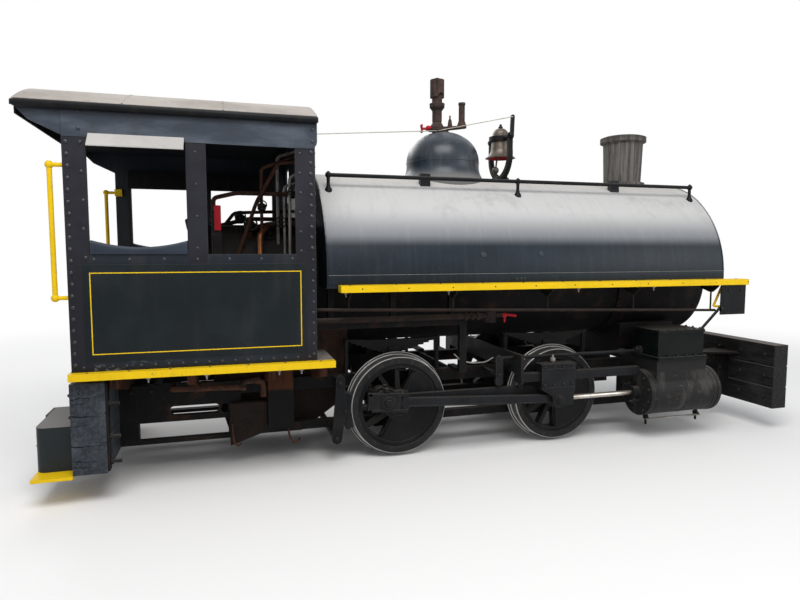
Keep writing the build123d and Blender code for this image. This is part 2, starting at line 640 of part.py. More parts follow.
# Leaf springs over the axles, the longest leaf on top
SPRING_HALF_SPAN = 390
SPRING_HANGER_INSET = 14
SPRING_HANGER_LENGTH = 24
SPRING_HANGER_WIDTH = 30
SPRING_SEAT_Z = 789
SPRING_LEAF = 13
SPRING_LEAVES = 8
SPRING_ARC = 5000
with BuildPart() as springs:
    for side in (RIGHT, LEFT):
        spring_face = slab_face(side, FRAME_INNER_Y, FRAME_OUTER_Y)
        for axle_x, _ in WHEELSETS.values():
            with BuildSketch(side_plane(spring_face, axle_x, SPRING_SEAT_Z)):
                for leaf in range(SPRING_LEAVES):
                    span = SPRING_HALF_SPAN * (leaf + 1.6) / (SPRING_LEAVES + 0.6)
                    radius = SPRING_ARC - leaf * SPRING_LEAF
                    turn = math.degrees(math.asin(span / radius))
                    with BuildLine():
                        low = CenterArc((0, SPRING_ARC), radius, -90 - turn, 2 * turn)
                        high = CenterArc((0, SPRING_ARC), radius - SPRING_LEAF - 1, -90 - turn, 2 * turn)
                        Line(low @ 0, high @ 0)
                        Line(low @ 1, high @ 1)
                    make_face()
                # Buckle round the middle and its post down to the axlebox
                with Locations((0, SPRING_LEAVES * SPRING_LEAF / 2)):
                    Rectangle(70, SPRING_LEAVES * SPRING_LEAF + 24)
            extrude(amount=FRAME_THICKNESS)
            with BuildSketch(Plane.XY.offset(FRAME_TOP_Z)):
                with Locations((axle_x, side * (FRAME_INNER_Y + FRAME_THICKNESS / 2))):
                    Rectangle(60, FRAME_THICKNESS)
                end_x = SPRING_HALF_SPAN - SPRING_HANGER_INSET
                with Locations(
                    (axle_x - end_x, side * (FRAME_INNER_Y + FRAME_THICKNESS / 2)),
                    (axle_x + end_x, side * (FRAME_INNER_Y + FRAME_THICKNESS / 2)),
                ):
                    Rectangle(SPRING_HANGER_LENGTH, SPRING_HANGER_WIDTH)
            extrude(amount=SPRING_SEAT_Z - FRAME_TOP_Z + (SPRING_LEAVES + 0.8) * SPRING_LEAF)
finish(springs, "springs")


# Beams: stacked timbers with a groove along each seam
# Name: rear X, depth, bottom Z, top Z
BEAMS = {
    "rear_beam": (REAR_BEAM_FRONT_X - REAR_BEAM_DEPTH, REAR_BEAM_DEPTH, REAR_BEAM_BOTTOM_Z, REAR_BEAM_TOP_Z),
    "front_beam": (FRONT_BEAM_REAR_X, FRONT_BEAM_DEPTH, FRONT_BEAM_BOTTOM_Z, FRONT_BEAM_TOP_Z),
}
for name, (rear_x, depth, bottom_z, top_z) in BEAMS.items():
    timber = (top_z - bottom_z) / BEAM_TIMBERS
    with BuildPart() as beam:
        with BuildSketch(side_plane(BEAM_HALF_WIDTH, rear_x, bottom_z)):
            with Locations((depth / 2, (top_z - bottom_z) / 2)):
                Rectangle(depth, top_z - bottom_z)
            for seam in range(1, BEAM_TIMBERS):
                with Locations((0, seam * timber), (depth, seam * timber)):
                    Rectangle(GROOVE, GROOVE, rotation=45, mode=Mode.SUBTRACT)
        extrude(amount=2 * BEAM_HALF_WIDTH)
    finish(beam, name)


# Bumper blocks behind the rear beam, one at each side of the coupler
BUMPER_FRONT_X = REAR_BEAM_FRONT_X - REAR_BEAM_DEPTH
BUMPER_MIDDLE_X = BUMPER_FRONT_X - BUMPER_DEPTH / 2
with BuildPart() as bumper:
    with BuildSketch(Plane.XY.offset(BUMPER_BOTTOM_Z)):
        for side in (RIGHT, LEFT):
            with Locations((BUMPER_MIDDLE_X, side * (BUMPER_INNER_Y + BUMPER_OUTER_Y) / 2)):
                Rectangle(BUMPER_DEPTH, BUMPER_OUTER_Y - BUMPER_INNER_Y)
    extrude(amount=BUMPER_TOP_Z - BUMPER_BOTTOM_Z)
    rear_edges = bumper.edges().filter_by(Axis.Z).group_by(Axis.X)[0].sort_by(Axis.Y)
    fillet([rear_edges[0], rear_edges[-1]], BUMPER_CORNER)
finish(bumper, "rear_bumper")

# Step plates below the outer ends of the bumper blocks
BUMPER_STEP_INNER_Y = BUMPER_OUTER_Y - 140
BUMPER_STEP_OUTER_Y = BEAM_HALF_WIDTH + 5
BUMPER_STEP_THICKNESS = 20
with BuildPart() as bumper_steps:
    for side in (RIGHT, LEFT):
        with BuildSketch(Plane.XY.offset(BUMPER_BOTTOM_Z - BUMPER_STEP_THICKNESS)):
            with Locations((BUMPER_MIDDLE_X, side * (BUMPER_STEP_INNER_Y + BUMPER_STEP_OUTER_Y) / 2)):
                Rectangle(BUMPER_DEPTH, BUMPER_STEP_OUTER_Y - BUMPER_STEP_INNER_Y)
        extrude(amount=BUMPER_STEP_THICKNESS)
finish(bumper_steps, "bumper_steps")


# Link-and-pin couplers: flange on the beam, shank and slotted head
# Name: X of the beam's face, direction that the coupler points
COUPLERS = {
    "rear_coupler": (BUMPER_FRONT_X, -1),
    "front_coupler": (FRONT_BEAM_REAR_X + FRONT_BEAM_DEPTH, 1),
}
for name, (root_x, direction) in COUPLERS.items():
    mouth_x = direction * COUPLER_MOUTH_X
    with BuildPart() as coupler:
        with Locations(((root_x + mouth_x) / 2, 0, COUPLER_Z)):
            Box(abs(mouth_x - root_x), 2 * COUPLER_SHANK_HALF_WIDTH, 2 * COUPLER_SHANK_HALF_HEIGHT)
        with Locations((root_x + direction * COUPLER_FLANGE_THICKNESS / 2, 0, COUPLER_Z)):
            Box(COUPLER_FLANGE_THICKNESS, 2 * COUPLER_FLANGE_HALF_WIDTH, 2 * COUPLER_FLANGE_HALF_HEIGHT)
        with Locations((mouth_x - direction * COUPLER_HEAD_LENGTH / 2, 0, COUPLER_Z)):
            Box(COUPLER_HEAD_LENGTH, 2 * COUPLER_HALF_WIDTH, 2 * COUPLER_HALF_HEIGHT)
        with Locations((mouth_x - direction * COUPLER_SLOT_DEPTH / 2, 0, COUPLER_Z)):
            Box(
                COUPLER_SLOT_DEPTH,
                2 * COUPLER_SLOT_HALF_WIDTH,
                2 * COUPLER_SLOT_HALF_HEIGHT,
                mode=Mode.SUBTRACT,
            )
        with Locations((mouth_x - direction * COUPLER_PIN_SETBACK, 0, COUPLER_Z)):
            Cylinder(COUPLER_PIN_RADIUS, 2 * COUPLER_HALF_HEIGHT, mode=Mode.SUBTRACT)
    finish(coupler, name)


# Boiler barrel and firebox
with BuildPart() as boiler:
    with BuildSketch(section_plane(BACKHEAD_X, BOILER_Z)):
        Circle(BOILER_RADIUS)
    extrude(amount=SMOKEBOX_REAR_X - BACKHEAD_X)
finish(boiler, "boiler")

with BuildPart() as firebox:
    firebox_middle = (BACKHEAD_X + FIREBOX_FRONT_X) / 2
    with Locations((firebox_middle, 0, (FIREBOX_BOTTOM_Z + BOILER_Z) / 2)):
        Box(
            FIREBOX_FRONT_X - BACKHEAD_X - 20,
            2 * FIREBOX_HALF_WIDTH,
            BOILER_Z - FIREBOX_BOTTOM_Z,
        )
    with BuildSketch(section_plane(BACKHEAD_X - 50, BOILER_Z)):
        Circle(BOILER_RADIUS + SEAT)
    extrude(amount=SMOKEBOX_REAR_X - BACKHEAD_X, mode=Mode.SUBTRACT)
finish(firebox, "firebox")

with BuildPart() as ash_pan:
    with BuildSketch(side_plane(FIREBOX_HALF_WIDTH - 10)):
        with BuildLine():
            Polyline(
                (BACKHEAD_X + 20, FIREBOX_BOTTOM_Z),
                (BACKHEAD_X + 110, ASH_PAN_BOTTOM_Z + 60),
                (BACKHEAD_X + 110, ASH_PAN_BOTTOM_Z),
                (FIREBOX_FRONT_X - 380, ASH_PAN_BOTTOM_Z),
                (FIREBOX_FRONT_X - 20, FIREBOX_BOTTOM_Z - 120),
                (FIREBOX_FRONT_X - 20, FIREBOX_BOTTOM_Z),
                close=True,
            )
        make_face()
    extrude(amount=2 * (FIREBOX_HALF_WIDTH - 10))
    # Wings on the outside of the frames
    for side in (RIGHT, LEFT):
        wing_face = slab_face(side, FRAME_OUTER_Y, FRAME_OUTER_Y + WING_THICKNESS)
        with BuildSketch(side_plane(wing_face)):
            with BuildLine():
                Polyline(
                    (WING_REAR_X, WING_BOTTOM_Z),
                    (WING_REAR_X, WING_TOP_Z),
                    (WING_REAR_X + WING_LENGTH, WING_TOP_Z),
                    (WING_REAR_X + WING_LENGTH, WING_BOTTOM_Z + 90),
                    close=True,
                )
            make_face()
        extrude(amount=WING_THICKNESS)
finish(ash_pan, "ash_pan")


# Smokebox: open shell, front plate with its doorway, saddle between the frames
DOOR_X = SMOKEBOX_FRONT_X + 2
DOOR_HINGE_X = DOOR_X + 22
DOOR_PIN_RADIUS = 10
DOOR_KNUCKLE_RADIUS = 20
DOOR_LUG_Z = 190
DOOR_LUG_HEIGHT = 40
DOOR_LUG_WIDTH = 30
STRAP_Z = 130
STRAP_HEIGHT = 56
with BuildPart() as smokebox:
    with BuildSketch(section_plane(SMOKEBOX_REAR_X + SEAT, BOILER_Z)):
        Circle(SMOKEBOX_RADIUS)
    extrude(amount=SMOKEBOX_FRONT_X - SMOKEBOX_REAR_X - SEAT)
    with BuildSketch(section_plane(SMOKEBOX_REAR_X + SMOKEBOX_SHELL, BOILER_Z)):
        Circle(SMOKEBOX_RADIUS - SMOKEBOX_SHELL)
    extrude(amount=SMOKEBOX_FRONT_X - SMOKEBOX_REAR_X - 2 * SMOKEBOX_SHELL, mode=Mode.SUBTRACT)
    with BuildSketch(section_plane(SMOKEBOX_FRONT_X - 2 * SMOKEBOX_SHELL, BOILER_Z)):
        Circle(SMOKEBOX_OPENING_RADIUS)
    extrude(amount=3 * SMOKEBOX_SHELL, mode=Mode.SUBTRACT)
finish(smokebox, "smokebox")

# Hinge pin of the door between two lugs
with BuildPart() as smokebox_hinge:
    with Locations((DOOR_HINGE_X, SMOKEBOX_HINGE_Y, BOILER_Z)):
        Cylinder(DOOR_PIN_RADIUS, 2 * (DOOR_LUG_Z + DOOR_LUG_HEIGHT / 2))
    for lug_z in (BOILER_Z - DOOR_LUG_Z, BOILER_Z + DOOR_LUG_Z):
        with Locations((DOOR_HINGE_X, SMOKEBOX_HINGE_Y, lug_z)):
            Cylinder(DOOR_KNUCKLE_RADIUS, DOOR_LUG_HEIGHT)
        with Locations(((SMOKEBOX_FRONT_X + DOOR_HINGE_X) / 2, SMOKEBOX_HINGE_Y, lug_z)):
            Box(DOOR_HINGE_X - SMOKEBOX_FRONT_X, DOOR_LUG_WIDTH, DOOR_LUG_HEIGHT)
finish(smokebox_hinge, "smokebox_hinge")

SADDLE_LENGTH = 560
SADDLE_HALF_WIDTH = FRAME_OUTER_Y - 20
SADDLE_HEIGHT = 310
SADDLE_X = STACK_X - 10
SADDLE_TOP_Z = FRAME_TOP_Z + SADDLE_HEIGHT
with BuildPart() as smokebox_saddle:
    with Locations((SADDLE_X, 0, (FRAME_TOP_Z + SADDLE_TOP_Z) / 2)):
        Box(SADDLE_LENGTH, 2 * SADDLE_HALF_WIDTH, SADDLE_TOP_Z - FRAME_TOP_Z)
    with BuildSketch(section_plane(SMOKEBOX_REAR_X, BOILER_Z)):
        Circle(SMOKEBOX_RADIUS + SEAT)
    extrude(amount=SMOKEBOX_FRONT_X - SMOKEBOX_REAR_X, mode=Mode.SUBTRACT)
finish(smokebox_saddle, "smokebox_saddle")

# Smokebox door: dished plate with two straps and knuckles at its left edge
with BuildPart() as smokebox_door:
    with BuildSketch(section_plane(DOOR_X, BOILER_Z)):
        Circle(SMOKEBOX_DOOR_RADIUS)
    extrude(amount=16)
    with BuildSketch(section_plane(DOOR_X + 16, BOILER_Z)):
        Circle(SMOKEBOX_DOOR_RADIUS - 40)
    extrude(amount=30, taper=45)
    for strap_z in (BOILER_Z - STRAP_Z, BOILER_Z + STRAP_Z):
        with Locations((DOOR_X + 8, SMOKEBOX_HINGE_Y / 2 + 60, strap_z)):
            Box(16, SMOKEBOX_HINGE_Y - 120, STRAP_HEIGHT)
        with Locations((DOOR_HINGE_X, SMOKEBOX_HINGE_Y, strap_z)):
            Cylinder(DOOR_KNUCKLE_RADIUS, STRAP_HEIGHT)
            Cylinder(DOOR_PIN_RADIUS + RUNNING, STRAP_HEIGHT, mode=Mode.SUBTRACT)
finish(smokebox_door, "smokebox_door")


# Saddle tank round the boiler
with BuildPart() as tank:
    with BuildSketch(section_plane(TANK_REAR_X)):
        with BuildLine():
            crown = CenterArc((0, TANK_CENTRE_Z), TANK_RADIUS, 0, 180)
            left_side = Line(crown @ 0, (TANK_RADIUS, TANK_BOTTOM_Z))
            floor = Line(left_side @ 1, (-TANK_RADIUS, TANK_BOTTOM_Z))
            Line(floor @ 1, crown @ 1)
        make_face()
        with Locations((0, BOILER_Z)):
            Circle(SMOKEBOX_RADIUS + SEAT, mode=Mode.SUBTRACT)
    extrude(amount=TANK_FRONT_X - TANK_REAR_X)
    # Lifting cleats on top
    cleat_surface_z = TANK_CENTRE_Z + math.sqrt(TANK_RADIUS**2 - CLEAT_Y**2)
    with BuildSketch(Plane.XY.offset(cleat_surface_z - CLEAT_WIDTH)):
        for cleat_x in CLEATS_X:
            with Locations((cleat_x, CLEAT_Y), (cleat_x, -CLEAT_Y)):
                Rectangle(CLEAT_LENGTH, CLEAT_WIDTH)
    extrude(amount=CLEAT_WIDTH + CLEAT_RISE)
finish(tank, "saddle_tank")

with BuildPart() as running_boards:
    for side in (RIGHT, LEFT):
        inner = TANK_RADIUS + SEAT
        with Locations(
            (
                (BOARD_REAR_X + BOARD_FRONT_X) / 2,
                side * (inner + BOARD_OUTER_Y) / 2,
                BOARD_TOP_Z - BOARD_THICKNESS / 2,
            )
        ):
            Box(BOARD_FRONT_X - BOARD_REAR_X, BOARD_OUTER_Y - inner, BOARD_THICKNESS)
finish(running_boards, "running_boards")

# Brackets that hold the running boards on the tank
BRACKETS_X = (-960, -170, 620, 1410, 2190)
BRACKET_THICKNESS = 10
BOARD_BOTTOM_Z = BOARD_TOP_Z - BOARD_THICKNESS
BRACKET_FOOT_Z = BOARD_BOTTOM_Z - 62
PIPE_Y = BOARD_OUTER_Y - 100
with BuildPart() as board_brackets:
    for side in (RIGHT, LEFT):
        for bracket_x in BRACKETS_X:
            with BuildSketch(section_plane(bracket_x - BRACKET_THICKNESS / 2)):
                with BuildLine():
                    Polyline(
                        (side * (TANK_RADIUS - 110), TANK_BOTTOM_Z),
                        (side * (TANK_RADIUS + SEAT), TANK_BOTTOM_Z),
                        (side * (TANK_RADIUS + SEAT), BOARD_BOTTOM_Z),
                        (side * (BOARD_OUTER_Y - 15), BOARD_BOTTOM_Z),
                        (side * (BOARD_OUTER_Y - 15), BOARD_BOTTOM_Z - 12),
                        (side * (PIPE_Y + 20), BRACKET_FOOT_Z),
                        (side * (PIPE_Y - 20), BRACKET_FOOT_Z),
                        (side * (TANK_RADIUS - 110), BOARD_BOTTOM_Z - 30),
                        close=True,
                    )
                make_face()
            extrude(amount=BRACKET_THICKNESS)
finish(board_brackets, "board_brackets")

# Plates that hang from the front of the boards
END_PLATE_LENGTH = 256
END_PLATE_HEIGHT = 252
END_PLATE_THICKNESS = 12
with BuildPart() as end_plates:
    for side in (RIGHT, LEFT):
        with Locations(
            (
                BOARD_FRONT_X - END_PLATE_LENGTH / 2 - 12,
                side * (BOARD_OUTER_Y - 25),
                BOARD_BOTTOM_Z - END_PLATE_HEIGHT / 2,
            )
        ):
            Box(END_PLATE_LENGTH, END_PLATE_THICKNESS, END_PLATE_HEIGHT)
finish(end_plates, "board_end_plates")


# Handrails along the tank
RAIL_POSTS_X = (-1035, 530, 2240)
with BuildPart() as handrails:
    for side in (RIGHT, LEFT):
        with BuildSketch(section_plane(RAIL_POSTS_X[0], HANDRAIL_Z, side * HANDRAIL_Y)):
            Circle(HANDRAIL_RADIUS)
        extrude(amount=RAIL_POSTS_X[-1] - RAIL_POSTS_X[0])
        surface_z = TANK_CENTRE_Z + math.sqrt(TANK_RADIUS**2 - HANDRAIL_Y**2)
        for post_x in RAIL_POSTS_X:
            with BuildSketch(Plane.XY.offset(surface_z - 40)):
                with Locations((post_x, side * HANDRAIL_Y)):
                    Circle(HANDRAIL_RADIUS - 2)
            extrude(amount=HANDRAIL_Z - surface_z + 40)
            with Locations((post_x, side * HANDRAIL_Y, HANDRAIL_Z)):
                Sphere(HANDRAIL_RADIUS + 9)
    with BuildSketch(section_plane(TANK_REAR_X, TANK_CENTRE_Z)):
        Circle(TANK_RADIUS + SEAT)
    extrude(amount=TANK_FRONT_X - TANK_REAR_X, mode=Mode.SUBTRACT)
finish(handrails, "tank_handrails")


# Dome with a flared skirt that follows the tank
DOME_BASE_Z = TANK_TOP_Z - 171
DOME_CROWN_HEIGHT = 265
DOME_SHOULDER_RADIUS = 240
DOME_FLARE = 46
with BuildPart() as dome:
    with BuildSketch(Plane(origin=(DOME_X, 0, 0), x_dir=(1, 0, 0), z_dir=(0, -1, 0))):
        with BuildLine():
            axis_line = Line((0, DOME_BASE_Z), (0, DOME_TOP_Z))
            # Crown arc about a point on the axis, tangent to the shoulder arc
            spring_z = DOME_TOP_Z - DOME_CROWN_HEIGHT
            shoulder_x = DOME_RADIUS - DOME_SHOULDER_RADIUS
            rise = DOME_CROWN_HEIGHT - DOME_SHOULDER_RADIUS
            drop = (shoulder_x**2 - rise**2) / (2 * rise)
            join_angle = math.degrees(math.atan2(drop, shoulder_x))
            CenterArc((0, spring_z - drop), DOME_CROWN_HEIGHT + drop, join_angle, 90 - join_angle)
            shoulder = CenterArc((shoulder_x, spring_z), DOME_SHOULDER_RADIUS, 0, join_angle)
            wall = Line(shoulder @ 0, (DOME_RADIUS, TANK_TOP_Z + 100))
            flare = TangentArc(
                wall @ 1, (DOME_RADIUS + DOME_FLARE, TANK_TOP_Z - 18), tangent=wall % 1
            )
            skirt = Line(flare @ 1, (DOME_RADIUS + DOME_FLARE, DOME_BASE_Z))
            Line(skirt @ 1, axis_line @ 0)
        make_face()
    revolve(axis=Axis((DOME_X, 0, 0), (0, 0, 1)))
    with BuildSketch(section_plane(TANK_REAR_X, TANK_CENTRE_Z)):
        Circle(TANK_RADIUS + SEAT)
    extrude(amount=TANK_FRONT_X - TANK_REAR_X, mode=Mode.SUBTRACT)
    # Seat for the whistle's foot
    with BuildSketch(Plane.XY.offset(DOME_TOP_Z - WHISTLE_SEAT_DEPTH)):
        with Locations((WHISTLE_X, 0)):
            Circle(WHISTLE_FOOT_RADIUS + PRESS)
    extrude(amount=2 * WHISTLE_SEAT_DEPTH, mode=Mode.SUBTRACT)
finish(dome, "steam_dome")

# Whistle: flared foot, neck, cup and slotted cylinder
MOUTH_RADIUS = 32
MOUTH_DEPTH = 26
WHISTLE_RADIUS = 61
with BuildPart() as whistle:
    with BuildSketch(side_plane(0, WHISTLE_X)):
        with BuildLine():
            Polyline(
                (0, DOME_TOP_Z - WHISTLE_SEAT_DEPTH),
                (WHISTLE_FOOT_RADIUS, DOME_TOP_Z - WHISTLE_SEAT_DEPTH),
                (WHISTLE_FOOT_RADIUS, DOME_TOP_Z + 20),
                (66, DOME_TOP_Z + 20),
                (66, DOME_TOP_Z + 34),
                (39, DOME_TOP_Z + 78),
                (42, DOME_TOP_Z + 90),
                (42, DOME_TOP_Z + 178),
                (64, DOME_TOP_Z + 206),
                (66, DOME_TOP_Z + 238),
                (44, DOME_TOP_Z + 248),
                (44, DOME_TOP_Z + 286),
                (WHISTLE_RADIUS, DOME_TOP_Z + 290),
                (WHISTLE_RADIUS, DOME_TOP_Z + 438),
                (24, DOME_TOP_Z + 446),
                (16, DOME_TOP_Z + 455),
                (0, DOME_TOP_Z + 455),
                close=True,
            )
        make_face()
    revolve(axis=Axis((WHISTLE_X, 0, 0), (0, 0, 1)))
    for side in (RIGHT, LEFT):
        mouth_face = slab_face(side, WHISTLE_RADIUS - MOUTH_DEPTH, WHISTLE_RADIUS + 1)
        with BuildSketch(side_plane(mouth_face, WHISTLE_X + 18, DOME_TOP_Z + 290)):
            Circle(MOUTH_RADIUS)
        extrude(amount=MOUTH_DEPTH + 1, mode=Mode.SUBTRACT)
        with Locations((WHISTLE_X - 22, side * WHISTLE_RADIUS, DOME_TOP_Z + 380)):
            Box(7, 22, 130, mode=Mode.SUBTRACT)
finish(whistle, "whistle")


# Tilted plate on the dome's crown with the safety valve and a small valve on it
TURRET_REAR_X = -68
TURRET_LENGTH = 333
TURRET_TILT = 7.4
TURRET_THICKNESS = 20
TURRET_REAR_RADIUS = 70
TURRET_FRONT_RADIUS = 42
SAFETY_VALVE_X = 235
SMALL_VALVE_X = 125
with BuildPart() as turret:
    tilt = math.radians(TURRET_TILT)
    turret_plane = Plane(
        origin=(TURRET_REAR_X, 0, DOME_TOP_Z + 3),
        x_dir=(math.cos(tilt), 0, math.sin(tilt)),
        z_dir=(-math.sin(tilt), 0, math.cos(tilt)),
    )
    with BuildSketch(turret_plane):
        rear_x = TURRET_REAR_RADIUS
        front_x = TURRET_LENGTH - TURRET_FRONT_RADIUS
        with Locations((rear_x, 0)):
            Circle(TURRET_REAR_RADIUS)
        with Locations((front_x, 0)):
            Circle(TURRET_FRONT_RADIUS)
        with BuildLine():
            Polyline(
                (rear_x, -TURRET_REAR_RADIUS),
                (front_x, -TURRET_FRONT_RADIUS),
                (front_x, TURRET_FRONT_RADIUS),
                (rear_x, TURRET_REAR_RADIUS),
                close=True,
            )
        make_face()
    extrude(amount=TURRET_THICKNESS)
    # Pedestal between the crown and the plate
    with BuildSketch(Plane.XY.offset(DOME_TOP_Z - 40)):
        with Locations((DOME_X, 0)):
            Circle(52)
    extrude(amount=70)
    with BuildSketch(side_plane(0, SAFETY_VALVE_X, DOME_TOP_Z)):
        with BuildLine():
            Polyline(
                (0, 46),
                (42, 46),
                (42, 66),
                (27, 108),
                (27, 240),
                (31, 244),
                (31, 262),
                (0, 262),
                close=True,
            )
        make_face()
    revolve(axis=Axis((SAFETY_VALVE_X, 0, 0), (0, 0, 1)))
    with BuildSketch(side_plane(0, SMALL_VALVE_X, DOME_TOP_Z)):
        with BuildLine():
            Polyline((0, 32), (21, 32), (21, 58), (15, 104), (7, 120), (7, 146), (0, 146), close=True)
        make_face()
    revolve(axis=Axis((SMALL_VALVE_X, 0, 0), (0, 0, 1)))
    add(dome.part, mode=Mode.SUBTRACT)
    add(whistle.part, mode=Mode.SUBTRACT)
finish(turret, "dome_turret")


# Stack: open pipe with a bead round its rim
STACK_FOOT_Z = TANK_TOP_Z - 121
STACK_COLLAR_Z = TANK_TOP_Z + 17
STACK_FLOOR_Z = TANK_TOP_Z + 19
with BuildPart() as stack:
    with BuildSketch(Plane(origin=(STACK_X, 0, 0), x_dir=(1, 0, 0), z_dir=(0, -1, 0))):
        with BuildLine():
            Polyline(
                (0, STACK_FOOT_Z),
                (STACK_BASE_RADIUS + STACK_COLLAR, STACK_FOOT_Z),
                (STACK_BASE_RADIUS + STACK_COLLAR, STACK_COLLAR_Z),
                (STACK_BASE_RADIUS, STACK_COLLAR_Z + 12),
                (STACK_TOP_RADIUS, STACK_TOP_Z - 70),
                (STACK_RIM_RADIUS, STACK_TOP_Z - 55),
                (STACK_RIM_RADIUS, STACK_TOP_Z - 10),
                (STACK_TOP_RADIUS, STACK_TOP_Z),
                (STACK_TOP_RADIUS - STACK_WALL, STACK_TOP_Z),
                (STACK_BASE_RADIUS - STACK_WALL, STACK_FLOOR_Z),
                (0, STACK_FLOOR_Z),
                close=True,
            )
        make_face()
    revolve(axis=Axis((STACK_X, 0, 0), (0, 0, 1)))
    with BuildSketch(section_plane(TANK_REAR_X, TANK_CENTRE_Z)):
        Circle(TANK_RADIUS + SEAT)
    extrude(amount=TANK_FRONT_X - TANK_REAR_X, mode=Mode.SUBTRACT)
finish(stack, "stack")


# Bell on its harp stand, whose arms curve out from a foot on the tank
HARP_HALF_WIDTH = 178
HARP_BAR = 22
HARP_DEPTH = 44
HARP_FOOT_Z = TANK_TOP_Z + 5
HARP_SHOULDER_Z = BELL_PIVOT_Z - 112
HARP_OUTER_Y = HARP_HALF_WIDTH + HARP_BAR
PIVOT_RADIUS = 14
BOSS_RADIUS = 32
with BuildPart() as bell_stand:
    with BuildSketch(section_plane(BELL_X - HARP_DEPTH / 2)):
        with BuildLine():
            shoulder = (HARP_OUTER_Y, HARP_SHOULDER_Z)
            outer = ThreePointArc((0, HARP_FOOT_Z), (150, HARP_FOOT_Z + 72), shoulder)
            outer_side = Line(outer @ 1, (HARP_OUTER_Y, BELL_PIVOT_Z))
            top = Line(outer_side @ 1, (HARP_HALF_WIDTH, BELL_PIVOT_Z))
            inner_side = Line(top @ 1, (HARP_HALF_WIDTH, HARP_SHOULDER_Z))
            inner = ThreePointArc(inner_side @ 1, (128, HARP_FOOT_Z + 102), (0, HARP_FOOT_Z + 36))
            Line(inner @ 1, outer @ 0)
        make_face()
        mirror(about=Plane.YZ)
    extrude(amount=HARP_DEPTH)
    with Locations((BELL_X, 0, TANK_TOP_Z - 25)):
        Box(120, 120, 100)
    for side in (RIGHT, LEFT):
        boss_face = slab_face(side, HARP_HALF_WIDTH, HARP_OUTER_Y)
        with BuildSketch(side_plane(boss_face, BELL_X, BELL_PIVOT_Z)):
            Circle(BOSS_RADIUS)
        extrude(amount=HARP_BAR)
        with BuildSketch(side_plane(boss_face, BELL_X, BELL_PIVOT_Z)):
            Circle(PIVOT_RADIUS + RUNNING)
        extrude(amount=HARP_BAR, mode=Mode.SUBTRACT)
    with BuildSketch(section_plane(TANK_REAR_X, TANK_CENTRE_Z)):
        Circle(TANK_RADIUS + SEAT)
    extrude(amount=TANK_FRONT_X - TANK_REAR_X, mode=Mode.SUBTRACT)
finish(bell_stand, "bell_stand")

CLAPPER_RADIUS = 30
CLAPPER_SET_BACK = 44
with BuildPart() as bell:
    with BuildSketch(side_plane(0, BELL_X)):
        with BuildLine():
            crown = ThreePointArc((0, BELL_CROWN_Z), (44, BELL_CROWN_Z - 12), (70, BELL_CROWN_Z - 48))
            waist = Line(crown @ 1, (84, BELL_LIP_Z + 85))
            flare = ThreePointArc(waist @ 1, (97, BELL_LIP_Z + 38), (BELL_LIP_RADIUS, BELL_LIP_Z))
            lip = Line(flare @ 1, (BELL_LIP_RADIUS - 14, BELL_LIP_Z - 3))
            inside = ThreePointArc(lip @ 1, (84, BELL_LIP_Z + 36), (70, BELL_LIP_Z + 90))
            wall = Line(inside @ 1, (56, BELL_CROWN_Z - 52))
            ceiling = ThreePointArc(wall @ 1, (36, BELL_CROWN_Z - 27), (0, BELL_CROWN_Z - 18))
            Line(ceiling @ 1, crown @ 0)
        make_face()
    revolve(axis=Axis((BELL_X, 0, 0), (0, 0, 1)))
    # Clapper, hanging back a little from the crown
    clapper_top = Vector(BELL_X, 0, BELL_CROWN_Z - 12)
    clapper_ball = Vector(BELL_X - CLAPPER_SET_BACK, 0, BELL_LIP_Z - 107)
    with BuildSketch(Plane(origin=clapper_top, z_dir=clapper_ball - clapper_top)):
        Circle(8)
    extrude(amount=(clapper_ball - clapper_top).length)
    with Locations(clapper_ball):
        Sphere(CLAPPER_RADIUS)
finish(bell, "bell")

COLLAR_RADIUS = 102
LEVER_LENGTH = 195
LEVER_THICKNESS = 16
with BuildPart() as bell_yoke:
    with Locations((BELL_X, 0, BELL_PIVOT_Z)):
        Cylinder(COLLAR_RADIUS, 40)
        Cylinder(68, 40, mode=Mode.SUBTRACT)
    trunnion_end_y = HARP_OUTER_Y + 26
    for side in (RIGHT, LEFT):
        with BuildSketch(side_plane(slab_face(side, 88, trunnion_end_y), BELL_X, BELL_PIVOT_Z)):
            Circle(PIVOT_RADIUS)
        extrude(amount=trunnion_end_y - 88)
        with BuildSketch(side_plane(slab_face(side, 88, HARP_HALF_WIDTH - 6), BELL_X, BELL_PIVOT_Z)):
            Circle(PIVOT_RADIUS + 12)
        extrude(amount=HARP_HALF_WIDTH - 94)
    lever_face = slab_face(RIGHT, HARP_OUTER_Y + 6, HARP_OUTER_Y + 6 + LEVER_THICKNESS)
    with BuildSketch(side_plane(lever_face, BELL_X, BELL_PIVOT_Z)):
        with Locations((6, LEVER_LENGTH / 2 - 20)):
            SlotOverall(LEVER_LENGTH, 34, rotation=88)
    extrude(amount=LEVER_THICKNESS)
    add(bell.part, mode=Mode.SUBTRACT)
finish(bell_yoke, "bell_yoke")


